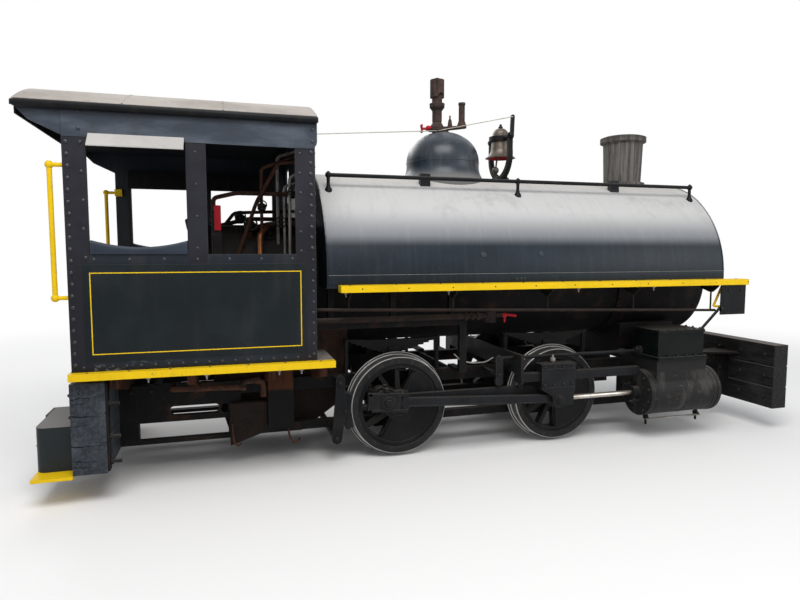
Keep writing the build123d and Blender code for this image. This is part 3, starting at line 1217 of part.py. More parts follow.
# Cab sides with windows, cut off below the arch of the roof
ROOF_SAGITTA = ROOF_CROWN_Z - EAVE_Z
ROOF_RADIUS = (ROOF_HALF_WIDTH**2 + ROOF_SAGITTA**2) / (2 * ROOF_SAGITTA)
ROOF_CENTRE_Z = ROOF_CROWN_Z - ROOF_RADIUS
CEILING_RADIUS = ROOF_RADIUS - ROOF_THICKNESS - SEAT
CAB_TOP_Z = ROOF_CENTRE_Z + math.sqrt(CEILING_RADIUS**2 - CAB_HALF_WIDTH**2)
for side in (RIGHT, LEFT):
    with BuildPart() as cab_side:
        wall_face = slab_face(side, CAB_HALF_WIDTH - CAB_WALL, CAB_HALF_WIDTH)
        with BuildSketch(side_plane(wall_face)):
            with BuildLine():
                Polyline(
                    (CAB_REAR_X, CAB_BOTTOM_Z),
                    (CAB_FRONT_X, CAB_BOTTOM_Z),
                    (CAB_FRONT_X, CAB_TOP_Z),
                    (ROOF_REAR_X + 10, CAB_TOP_Z),
                    (ROOF_REAR_X + 10, CAB_TOP_Z - 15),
                    (FASCIA_KNEE_X, FASCIA_KNEE_Z),
                    (CAB_REAR_X, FASCIA_BOTTOM_Z),
                    close=True,
                )
            make_face()
            for rear, front, sill, head in WINDOWS.values():
                with Locations(((rear + front) / 2, (sill + head) / 2)):
                    Rectangle(front - rear, head - sill, mode=Mode.SUBTRACT)
        extrude(amount=CAB_WALL)
    finish(cab_side, f"cab_side_{SIDE_NAMES[side]}")

LOOKOUT_INSET = 210
LOOKOUT_WIDTH = 250
LOOKOUT_HEIGHT = 300
LOOKOUT_Z = 2190
with BuildPart() as cab_front:
    with BuildSketch(section_plane(CAB_FRONT_X - CAB_WALL)):
        with Locations((0, (CAB_BOTTOM_Z + ROOF_CROWN_Z) / 2)):
            Rectangle(2 * (CAB_HALF_WIDTH - CAB_WALL), ROOF_CROWN_Z - CAB_BOTTOM_Z)
        with Locations((0, ROOF_CENTRE_Z)):
            Circle(CEILING_RADIUS, mode=Mode.INTERSECT)
        with Locations((0, BOILER_Z)):
            Circle(BOILER_RADIUS + SEAT, mode=Mode.SUBTRACT)
        with Locations((0, (BOILER_Z + CAB_BOTTOM_Z) / 2)):
            Rectangle(2 * (FIREBOX_HALF_WIDTH + 5), BOILER_Z - CAB_BOTTOM_Z, mode=Mode.SUBTRACT)
        for side in (RIGHT, LEFT):
            with Locations((side * (CAB_HALF_WIDTH - LOOKOUT_INSET), LOOKOUT_Z)):
                Rectangle(LOOKOUT_WIDTH, LOOKOUT_HEIGHT, mode=Mode.SUBTRACT)
    extrude(amount=CAB_WALL)
finish(cab_front, "cab_front")

with BuildPart() as cab_roof:
    with BuildSketch(section_plane(ROOF_REAR_X)):
        with Locations((0, ROOF_CENTRE_Z)):
            Circle(ROOF_RADIUS)
            Circle(ROOF_RADIUS - ROOF_THICKNESS, mode=Mode.SUBTRACT)
        with Locations((0, ROOF_CROWN_Z)):
            Rectangle(2 * ROOF_HALF_WIDTH, 2 * (ROOF_SAGITTA + ROOF_LIP), mode=Mode.INTERSECT)
    extrude(amount=ROOF_FRONT_X - ROOF_REAR_X)
    # Header plate across the open back
    with BuildSketch(section_plane(ROOF_REAR_X + 10)):
        with Locations((0, ROOF_CENTRE_Z)):
            Circle(ROOF_RADIUS - ROOF_THICKNESS / 2)
        with Locations((0, ROOF_CROWN_Z)):
            Rectangle(
                2 * (CAB_HALF_WIDTH - CAB_WALL), 2 * (ROOF_CROWN_Z - HEADER_BOTTOM_Z), mode=Mode.INTERSECT
            )
    extrude(amount=CAB_WALL)
finish(cab_roof, "cab_roof")

with BuildPart() as deck:
    deck_middle = (DECK_REAR_X + DECK_FRONT_X) / 2
    with Locations((deck_middle, 0, CAB_BOTTOM_Z - DECK_THICKNESS / 2)):
        Box(DECK_FRONT_X - DECK_REAR_X, 2 * CAB_HALF_WIDTH, DECK_THICKNESS)
    with Locations(((BACKHEAD_X + DECK_FRONT_X) / 2, 0, CAB_BOTTOM_Z)):
        Box(DECK_FRONT_X - BACKHEAD_X + 80, 2 * BOILER_RADIUS, 200, mode=Mode.SUBTRACT)
finish(deck, "cab_deck")

with BuildPart() as step_boards:
    for side in (RIGHT, LEFT):
        with Locations(
            (
                deck_middle,
                side * (CAB_HALF_WIDTH + STEP_BOARD_WIDTH / 2),
                CAB_BOTTOM_Z - DECK_THICKNESS / 2,
            )
        ):
            Box(DECK_FRONT_X - DECK_REAR_X, STEP_BOARD_WIDTH, DECK_THICKNESS)
finish(step_boards, "step_boards")


# Bearers that hold the cab deck above the frames, with a plate hung on the front ones
BEARER_DEPTH = 50
BEARER_OUTER_Y = CAB_HALF_WIDTH - 40
BEARER_HEIGHT = CAB_BOTTOM_Z - DECK_THICKNESS - FRAME_TOP_Z
# X of each bearer's middle and the nearest that it comes to the centreline
BEARERS = {-2480: 0, -2020: 0, -1500: 390, -1150: 390}
HUNG_PLATE_REAR_X = -1506
HUNG_PLATE_LENGTH = 189
HUNG_PLATE_THICKNESS = 12
HUNG_PLATE_Y = 520
HUNG_PLATE_BOTTOM_Z = 275
with BuildPart() as bearers:
    for side in (RIGHT, LEFT):
        for bearer_x, inner_y in BEARERS.items():
            with Locations((bearer_x, side * (BEARER_OUTER_Y + inner_y) / 2, FRAME_TOP_Z + BEARER_HEIGHT / 2)):
                Box(BEARER_DEPTH, BEARER_OUTER_Y - inner_y, BEARER_HEIGHT)
            # Slope under the outer end
            with BuildSketch(section_plane(bearer_x - BEARER_DEPTH)):
                with BuildLine():
                    Polyline(
                        (side * (FRAME_OUTER_Y + 60), FRAME_TOP_Z - 1),
                        (side * CAB_HALF_WIDTH, FRAME_TOP_Z - 1),
                        (side * CAB_HALF_WIDTH, FRAME_TOP_Z + BEARER_HEIGHT * 0.6),
                        close=True,
                    )
                make_face()
            extrude(amount=2 * BEARER_DEPTH, mode=Mode.SUBTRACT)
        plate_face = slab_face(side, HUNG_PLATE_Y, HUNG_PLATE_Y + HUNG_PLATE_THICKNESS)
        plate_height = CAB_BOTTOM_Z - DECK_THICKNESS - HUNG_PLATE_BOTTOM_Z
        with BuildSketch(side_plane(plate_face, HUNG_PLATE_REAR_X, HUNG_PLATE_BOTTOM_Z)):
            with Locations((HUNG_PLATE_LENGTH / 2, plate_height / 2)):
                Rectangle(HUNG_PLATE_LENGTH, plate_height)
        extrude(amount=HUNG_PLATE_THICKNESS)
finish(bearers, "deck_bearers")


# Tank bearers: a rail under each side of the tank with struts up to it and a post to the frame
BEARER_RAIL_INNER_Y = 600
BEARER_RAIL_WIDTH = 50
BEARER_RAIL_HEIGHT = 50
BEARER_RAIL_Z = 1022
BEARER_POST_X = -2
BEARER_POST_LENGTH = 56
STRUTS_X = (-1050, -575, -100)
with BuildPart() as tank_bearers:
    rail_rear = CAB_FRONT_X
    rail_front = BEARER_POST_X + BEARER_POST_LENGTH / 2
    rail_outer_y = BEARER_RAIL_INNER_Y + BEARER_RAIL_WIDTH
    for side in (RIGHT, LEFT):
        with BuildSketch(side_plane(slab_face(side, BEARER_RAIL_INNER_Y, rail_outer_y))):
            with Locations(((rail_rear + rail_front) / 2, BEARER_RAIL_Z + BEARER_RAIL_HEIGHT / 2)):
                Rectangle(rail_front - rail_rear, BEARER_RAIL_HEIGHT)
            with Locations((BEARER_POST_X, (BEARER_RAIL_Z + FRAME_TOP_Z) / 2)):
                Rectangle(BEARER_POST_LENGTH, BEARER_RAIL_Z - FRAME_TOP_Z)
            strut_bottom = BEARER_RAIL_Z + BEARER_RAIL_HEIGHT
            for strut_x in STRUTS_X:
                with Locations((strut_x, (strut_bottom + TANK_BOTTOM_Z) / 2)):
                    Rectangle(40, TANK_BOTTOM_Z - strut_bottom)
        extrude(amount=BEARER_RAIL_WIDTH)
        # Foot across the frame
        with BuildSketch(Plane.XY.offset(FRAME_TOP_Z)):
            with Locations((BEARER_POST_X, side * (FRAME_INNER_Y + rail_outer_y) / 2)):
                Rectangle(BEARER_POST_LENGTH, rail_outer_y - FRAME_INNER_Y)
        extrude(amount=24)
finish(tank_bearers, "tank_bearers")


# Pipes under the boards: a long thin one that falls toward the front, and the feed pipe
# with its couplings, valve and elbow into the boiler
PIPE_RADIUS = 11
PIPE_REAR_Z = 1190
PIPE_FRONT_X = 2240
PIPE_FALL = 98
FEED_Y = 720
FEED_Z = 1094
FEED_RADIUS = 22
FEED_ELBOW_X = 190
FEED_VALVE_RADIUS = 46
FEED_STEM_RADIUS = 15
FEED_STEM_REACH = 110
COUPLINGS_X = (-25, 25, 75)
COUPLING_LENGTH = 26
COUPLING_RADIUS = FEED_RADIUS + 12
with BuildPart() as pipes:
    run = PIPE_FRONT_X - CAB_FRONT_X
    for side in (RIGHT, LEFT):
        with BuildSketch(section_plane(CAB_FRONT_X, PIPE_REAR_Z, side * PIPE_Y)):
            Circle(PIPE_RADIUS)
        extrude(amount=math.hypot(run, PIPE_FALL), dir=(run, 0, -PIPE_FALL))
        for clip_x in BRACKETS_X:
            clip_z = PIPE_REAR_Z - PIPE_FALL * (clip_x - CAB_FRONT_X) / run
            with BuildSketch(Plane.XY.offset(clip_z)):
                with Locations((clip_x, side * PIPE_Y)):
                    Rectangle(8, 12)
            extrude(amount=BRACKET_FOOT_Z - clip_z)
        with BuildSketch(section_plane(CAB_FRONT_X, FEED_Z, side * FEED_Y)):
            Circle(FEED_RADIUS)
        extrude(amount=FEED_ELBOW_X - CAB_FRONT_X)
        for coupling_x in COUPLINGS_X:
            with BuildSketch(section_plane(coupling_x, FEED_Z, side * FEED_Y)):
                RegularPolygon(COUPLING_RADIUS, 6)
            extrude(amount=COUPLING_LENGTH)
        with Locations((FEED_ELBOW_X, side * FEED_Y, FEED_Z)):
            Cylinder(FEED_VALVE_RADIUS, 2.2 * FEED_VALVE_RADIUS)
        elbow_face = slab_face(side, BOILER_RADIUS / 2, FEED_Y)
        with BuildSketch(side_plane(elbow_face, FEED_ELBOW_X, FEED_Z)):
            Circle(FEED_RADIUS + 4)
        extrude(amount=FEED_Y - BOILER_RADIUS / 2)
        with BuildSketch(section_plane(FEED_ELBOW_X, FEED_Z, side * FEED_Y)):
            Circle(FEED_STEM_RADIUS)
        extrude(amount=FEED_STEM_REACH)
    with BuildSketch(section_plane(BACKHEAD_X, BOILER_Z)):
        Circle(BOILER_RADIUS)
    extrude(amount=SMOKEBOX_REAR_X - BACKHEAD_X, mode=Mode.SUBTRACT)
finish(pipes, "side_pipes")


# Grab rails at the back corners of the cab
GRAB_X = CAB_REAR_X - 75
GRAB_Y = CAB_HALF_WIDTH - 25
GRAB_RADIUS = 15
GRAB_BOTTOM_Z = 1315
GRAB_TOP_Z = 2115
GRAB_PAD = 50
with BuildPart() as grab_rails:
    for side in (RIGHT, LEFT):
        with BuildSketch(Plane.XY.offset(GRAB_BOTTOM_Z)):
            with Locations((GRAB_X, side * GRAB_Y)):
                Circle(GRAB_RADIUS)
        extrude(amount=GRAB_TOP_Z - GRAB_BOTTOM_Z)
        for end_z in (GRAB_BOTTOM_Z, GRAB_TOP_Z):
            with Locations((GRAB_X, side * GRAB_Y, end_z)):
                Sphere(GRAB_RADIUS + 9)
            with BuildSketch(section_plane(GRAB_X, end_z, side * GRAB_Y)):
                Circle(GRAB_RADIUS - 2)
            extrude(amount=CAB_REAR_X + 5 - GRAB_X)
            # Pad on the inner face of the cab's wall
            pad_y = CAB_HALF_WIDTH - CAB_WALL - GRAB_PAD / 2
            with BuildSketch(section_plane(CAB_REAR_X, end_z, side * pad_y)):
                Rectangle(GRAB_PAD, 60)
            extrude(amount=60)
finish(grab_rails, "grab_rails")


# Rain visors over the rear windows
VISOR_REACH = 90
VISOR_DROP = 86
VISOR_THICKNESS = 8
with BuildPart() as visors:
    rear, front, sill, head = WINDOWS["rear"]
    visor_top = head + 34
    for side in (RIGHT, LEFT):
        with BuildSketch(section_plane(rear + 15)):
            with BuildLine():
                Polyline(
                    (side * CAB_HALF_WIDTH, visor_top),
                    (side * CAB_HALF_WIDTH, visor_top - VISOR_THICKNESS),
                    (side * (CAB_HALF_WIDTH + VISOR_REACH), visor_top - VISOR_DROP - VISOR_THICKNESS),
                    (side * (CAB_HALF_WIDTH + VISOR_REACH), visor_top - VISOR_DROP),
                    close=True,
                )
            make_face()
        extrude(amount=front - rear - 20)
finish(visors, "window_visors")


# Brake hangers, blocks and beam behind the rear wheels
BRAKE_GAP = 7
BRAKE_BLOCK = 55
BRAKE_INNER_Y = 540
BRAKE_OUTER_Y = 620
HANGER_X = -985
HANGER_THICKNESS = 28
HANGER_TOP_Z = 640
BRAKE_BEAM_X = HANGER_X - 28
BRAKE_BEAM_Z = 190
with BuildPart() as brakes:
    for side in (RIGHT, LEFT):
        block_face = slab_face(side, BRAKE_INNER_Y, BRAKE_OUTER_Y)
        with BuildSketch(side_plane(block_face, REAR_AXLE_X, AXLE_Z)):
            with BuildLine():
                inner = CenterArc((0, 0), TREAD_RADIUS + BRAKE_GAP, 163, 38)
                outer = CenterArc((0, 0), TREAD_RADIUS + BRAKE_GAP + BRAKE_BLOCK, 163, 38)
                Line(inner @ 0, outer @ 0)
                Line(inner @ 1, outer @ 1)
            make_face()
        extrude(amount=BRAKE_OUTER_Y - BRAKE_INNER_Y)
        hanger_face = slab_face(side, BRAKE_OUTER_Y, BRAKE_OUTER_Y + HANGER_THICKNESS)
        with BuildSketch(side_plane(hanger_face)):
            with BuildLine():
                Polyline(
                    (HANGER_X - 30, HANGER_TOP_Z),
                    (HANGER_X + 34, HANGER_TOP_Z),
                    (HANGER_X + 46, AXLE_Z),
                    (HANGER_X + 10, BRAKE_BEAM_Z),
                    (HANGER_X - 66, BRAKE_BEAM_Z),
                    (HANGER_X - 44, AXLE_Z),
                    close=True,
                )
            make_face()
            with Locations((BRAKE_BEAM_X, BRAKE_BEAM_Z)):
                Circle(38)
            with Locations((HANGER_X + 2, HANGER_TOP_Z)):
                Circle(32)
        extrude(amount=HANGER_THICKNESS)
        # Pin from the frame that the hanger hangs on
        pivot_face = slab_face(side, FRAME_OUTER_Y, BRAKE_OUTER_Y + HANGER_THICKNESS)
        with BuildSketch(side_plane(pivot_face, HANGER_X + 2, HANGER_TOP_Z - 30)):
            Circle(22)
        extrude(amount=BRAKE_OUTER_Y + HANGER_THICKNESS - FRAME_OUTER_Y)
    # Beam from side to side at the hangers' feet
    with BuildSketch(side_plane(BRAKE_OUTER_Y, BRAKE_BEAM_X, BRAKE_BEAM_Z)):
        Circle(26)
    extrude(amount=2 * BRAKE_OUTER_Y)
finish(brakes, "brake_gear")


# Inside the cab: seat boxes, reversing lever, backhead with its pipes and the fire door
SEAT_LENGTH = 400
SEAT_WIDTH = 360
SEAT_HEIGHT = 520
SEAT_REAR_GAP = 150
with BuildPart() as seats:
    for side in (RIGHT, LEFT):
        seat_y = CAB_HALF_WIDTH - CAB_WALL - SEAT_WIDTH / 2
        seat_x = CAB_REAR_X + SEAT_REAR_GAP + SEAT_LENGTH / 2
        with Locations((seat_x, side * seat_y, CAB_BOTTOM_Z + SEAT_HEIGHT / 2)):
            Box(SEAT_LENGTH, SEAT_WIDTH, SEAT_HEIGHT)
finish(seats, "seat_boxes")

LEVER_X = -1832
LEVER_Y = -610
LEVER_TOP = 1060
LEVER_WIDTH = 44
LEVER_THICKNESS = 20
LEVER_NECK = 120
LEVER_HANDLE_LENGTH = 160
LEVER_HANDLE_WIDTH = 36
QUADRANT_RADIUS = 520
QUADRANT_BAR = 50
QUADRANT_START = 60
QUADRANT_SWEEP = 60
QUADRANT_THICKNESS = 26
QUADRANT_Y = LEVER_Y + 26
QUADRANT_POST_X = 200
QUADRANT_POST_WIDTH = 36
QUADRANT_POST_HEIGHT = 500
with BuildPart() as reverse_lever:
    with BuildSketch(side_plane(LEVER_Y, LEVER_X, CAB_BOTTOM_Z)):
        with Locations((0, (LEVER_TOP - LEVER_NECK) / 2)):
            Rectangle(LEVER_WIDTH, LEVER_TOP - LEVER_NECK)
        with Locations((0, LEVER_TOP - LEVER_HANDLE_LENGTH / 2)):
            SlotOverall(LEVER_HANDLE_LENGTH, LEVER_HANDLE_WIDTH, rotation=90)
    extrude(amount=LEVER_THICKNESS)
    with BuildSketch(side_plane(QUADRANT_Y, LEVER_X, CAB_BOTTOM_Z)):
        with BuildLine():
            inner = CenterArc((0, 0), QUADRANT_RADIUS, QUADRANT_START, QUADRANT_SWEEP)
            outer = CenterArc((0, 0), QUADRANT_RADIUS + QUADRANT_BAR, QUADRANT_START, QUADRANT_SWEEP)
            Line(inner @ 0, outer @ 0)
            Line(inner @ 1, outer @ 1)
        make_face()
        post_z = QUADRANT_POST_HEIGHT / 2
        with Locations((-QUADRANT_POST_X, post_z), (QUADRANT_POST_X, post_z)):
            Rectangle(QUADRANT_POST_WIDTH, QUADRANT_POST_HEIGHT)
    extrude(amount=QUADRANT_THICKNESS)
finish(reverse_lever, "reverse_lever")

BACKHEAD_PLATE = 24
BACKHEAD_FLANGE = 14
BACKHEAD_FACE_X = BACKHEAD_X - BACKHEAD_PLATE
FIRE_DOOR_Z = 1080
FIRE_DOOR_WIDTH = 300
FIRE_DOOR_HEIGHT = 230
FIRE_DOOR_CORNER = 50
FIRE_DOOR_GAP = 2
FIRE_RING_DEPTH = 18
FIRE_RING_MARGIN = 10
FIRE_RING_CORNER = 60
FIRE_HOLE_LAP = 30
FIRE_HOLE_CORNER = 40
FIRE_DOOR_X = BACKHEAD_FACE_X - FIRE_RING_DEPTH - FIRE_DOOR_GAP
FIRE_DOOR_THICKNESS = 18
FIRE_HINGE_Y = FIRE_DOOR_WIDTH / 2 + 25
FIRE_HINGE_X = FIRE_DOOR_X - FIRE_DOOR_THICKNESS / 2
FIRE_PIN_RADIUS = 6
FIRE_KNUCKLE_RADIUS = 12
FIRE_KNUCKLE_HEIGHT = 80
FIRE_LUG_HEIGHT = 30
FIRE_LUG_GAP = 2
FIRE_STRAP_LAP = 30
PIPE_BANK_X = BACKHEAD_FACE_X - 36
PIPE_BANK_Y = (-200, 0, 200)
BANK_PIPE_RADIUS = 16
BANK_FOOT_Z = 1500
BANK_ELBOW_Z = BANK_FOOT_Z + 20
TURRET_PIPE_Z = 1700
HEADER_HALF_LENGTH = 260
HEADER_RADIUS = 42
GAUGE_Z = 1950
GAUGE_RADIUS = 90
GAUGE_DEPTH = 70
GAUGE_BACK_X = PIPE_BANK_X - 50
BANK_TOP_Z = GAUGE_Z - 10
with BuildPart() as backhead:
    with BuildSketch(section_plane(BACKHEAD_FACE_X, BOILER_Z)):
        Circle(BOILER_RADIUS + BACKHEAD_FLANGE)
    extrude(amount=BACKHEAD_PLATE)
    # Ring round the fire hole
    with BuildSketch(section_plane(BACKHEAD_FACE_X - FIRE_RING_DEPTH, FIRE_DOOR_Z)):
        RectangleRounded(
            FIRE_DOOR_WIDTH + 2 * FIRE_RING_MARGIN,
            FIRE_DOOR_HEIGHT + 2 * FIRE_RING_MARGIN,
            FIRE_RING_CORNER,
        )
        RectangleRounded(
            FIRE_DOOR_WIDTH - 2 * FIRE_HOLE_LAP,
            FIRE_DOOR_HEIGHT - 2 * FIRE_HOLE_LAP,
            FIRE_HOLE_CORNER,
            mode=Mode.SUBTRACT,
        )
    extrude(amount=FIRE_RING_DEPTH)
    # Hinge pin of the fire door between two lugs
    with Locations((FIRE_HINGE_X, FIRE_HINGE_Y, FIRE_DOOR_Z)):
        Cylinder(FIRE_PIN_RADIUS, FIRE_KNUCKLE_HEIGHT + 2 * (FIRE_LUG_HEIGHT + FIRE_LUG_GAP))
    for direction in (-1, 1):
        lug_z = FIRE_DOOR_Z + direction * (FIRE_KNUCKLE_HEIGHT / 2 + FIRE_LUG_GAP + FIRE_LUG_HEIGHT / 2)
        with Locations((FIRE_HINGE_X, FIRE_HINGE_Y, lug_z)):
            Cylinder(FIRE_KNUCKLE_RADIUS, FIRE_LUG_HEIGHT)
        with Locations(((FIRE_HINGE_X + BACKHEAD_FACE_X) / 2, FIRE_HINGE_Y, lug_z)):
            Box(BACKHEAD_FACE_X - FIRE_HINGE_X, 2 * FIRE_KNUCKLE_RADIUS, FIRE_LUG_HEIGHT)
    # Bank of pipes with a header, and the pressure gauge on the middle one
    for pipe_y in PIPE_BANK_Y:
        with BuildSketch(Plane.XY.offset(BANK_FOOT_Z)):
            with Locations((PIPE_BANK_X, pipe_y)):
                Circle(BANK_PIPE_RADIUS)
        extrude(amount=BANK_TOP_Z - BANK_FOOT_Z)
        with BuildSketch(section_plane(PIPE_BANK_X, BANK_ELBOW_Z, pipe_y)):
            Circle(BANK_PIPE_RADIUS)
        extrude(amount=BACKHEAD_FACE_X - PIPE_BANK_X)
    with BuildSketch(side_plane(HEADER_HALF_LENGTH, PIPE_BANK_X, TURRET_PIPE_Z)):
        Circle(HEADER_RADIUS)
    extrude(amount=2 * HEADER_HALF_LENGTH)
    with BuildSketch(section_plane(GAUGE_BACK_X, GAUGE_Z)):
        Circle(GAUGE_RADIUS)
    extrude(amount=GAUGE_DEPTH)
finish(backhead, "backhead_fittings")

with BuildPart() as fire_door:
    with BuildSketch(section_plane(FIRE_DOOR_X - FIRE_DOOR_THICKNESS, FIRE_DOOR_Z)):
        RectangleRounded(FIRE_DOOR_WIDTH, FIRE_DOOR_HEIGHT, FIRE_DOOR_CORNER)
    extrude(amount=FIRE_DOOR_THICKNESS)
    with Locations((FIRE_HINGE_X, (FIRE_DOOR_WIDTH / 2 - FIRE_STRAP_LAP + FIRE_HINGE_Y) / 2, FIRE_DOOR_Z)):
        Box(FIRE_DOOR_THICKNESS, FIRE_HINGE_Y - FIRE_DOOR_WIDTH / 2 + FIRE_STRAP_LAP, FIRE_KNUCKLE_HEIGHT)
    with Locations((FIRE_HINGE_X, FIRE_HINGE_Y, FIRE_DOOR_Z)):
        Cylinder(FIRE_KNUCKLE_RADIUS, FIRE_KNUCKLE_HEIGHT)
        Cylinder(FIRE_PIN_RADIUS + RUNNING, FIRE_KNUCKLE_HEIGHT, mode=Mode.SUBTRACT)
    # Handle on the right
    with BuildSketch(section_plane(FIRE_DOOR_X - FIRE_DOOR_THICKNESS - 40, FIRE_DOOR_Z, -100)):
        Circle(10)
    extrude(amount=42)
finish(fire_door, "fire_door")
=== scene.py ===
import math
import random

import bmesh
import bpy
from mathutils import Matrix, Vector


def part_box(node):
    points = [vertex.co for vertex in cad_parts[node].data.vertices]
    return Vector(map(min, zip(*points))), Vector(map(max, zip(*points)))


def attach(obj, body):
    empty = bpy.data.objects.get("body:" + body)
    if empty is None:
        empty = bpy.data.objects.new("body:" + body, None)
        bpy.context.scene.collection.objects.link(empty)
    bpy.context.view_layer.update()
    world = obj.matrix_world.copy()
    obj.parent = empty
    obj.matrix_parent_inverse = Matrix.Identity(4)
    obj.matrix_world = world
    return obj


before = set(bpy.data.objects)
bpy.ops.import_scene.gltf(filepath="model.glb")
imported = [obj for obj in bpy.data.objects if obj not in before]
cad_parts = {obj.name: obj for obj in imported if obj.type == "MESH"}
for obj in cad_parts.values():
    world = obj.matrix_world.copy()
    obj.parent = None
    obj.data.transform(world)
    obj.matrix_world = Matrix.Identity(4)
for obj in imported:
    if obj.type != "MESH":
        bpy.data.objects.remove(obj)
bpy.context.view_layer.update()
random.seed(7)

SIDES = {"right": -1, "left": 1}
AHEAD, BACK, OUT = (1, 0, 0), (-1, 0, 0), (0, 1, 0)
UP, DOWN = (0, 0, 1), (0, 0, -1)

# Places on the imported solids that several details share

CAB_Y = 0.950
CAB_REAR_X, CAB_FRONT_X = -2.708, -1.203
CAB_FOOT_Z = 0.858
FASCIA_FOOT_Z = 2.286
# Window: rear X, front X, sill, head
WINDOWS = {"rear": (-2.578, -2.015, 1.595, 2.278), "front": (-1.892, -1.335, 1.580, 2.278)}
ROOF_TOP_Z = 2.708
ROOF_HALF_WIDTH = 0.985
ROOF_RISE = 0.238
ROOF_ARC = (ROOF_HALF_WIDTH**2 + ROOF_RISE**2) / (2 * ROOF_RISE)

TANK_Y = 0.836
TANK_CENTRE_Z = 1.385
TANK_REAR_X, TANK_FRONT_X = -1.110, 2.330
SMOKEBOX_Z = 1.325
DOME_X = 0.058
BELL_X, BELL_PIVOT_Z = 0.610, 2.592

AXLE_Z = 0.406
REAR_AXLE_X = -0.517
WHEELBASE = 1.371
AXLES_X = {"rear": REAR_AXLE_X, "front": REAR_AXLE_X + WHEELBASE}
CRANK_RADIUS = 0.152
CRANK_ANGLE = {"right": 152.5, "left": 242.5}
ROD_LENGTH = 1.422
ROD_FACE_Y = 0.785
SIDE_ROD_Y = 0.684
CROSSHEAD_FACE_Y = 0.823
CYLINDER_Y = 0.765
CYLINDER_REAR_X, CYLINDER_FRONT_X = 1.540, 2.240
CHEST_FOOT_Z, CHEST_LID_Z = 0.700, 0.939
VALVE_ROD_Y, VALVE_ROD_Z = 0.690, 0.745
FRAME_FACE_Y = 0.4495
BEARER_RUST_Z = 0.556


# Meshes

def link_piece(name, mesh, surface, slot, body="engine", smooth_angle=35):
    piece = bpy.data.objects.new(name, mesh)
    bpy.context.scene.collection.objects.link(piece)
    mesh.materials.clear()
    mesh.materials.append(surface)
    if smooth_angle:
        mesh.shade_smooth()
        mesh.set_sharp_from_angle(angle=math.radians(smooth_angle))
    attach(piece, body)


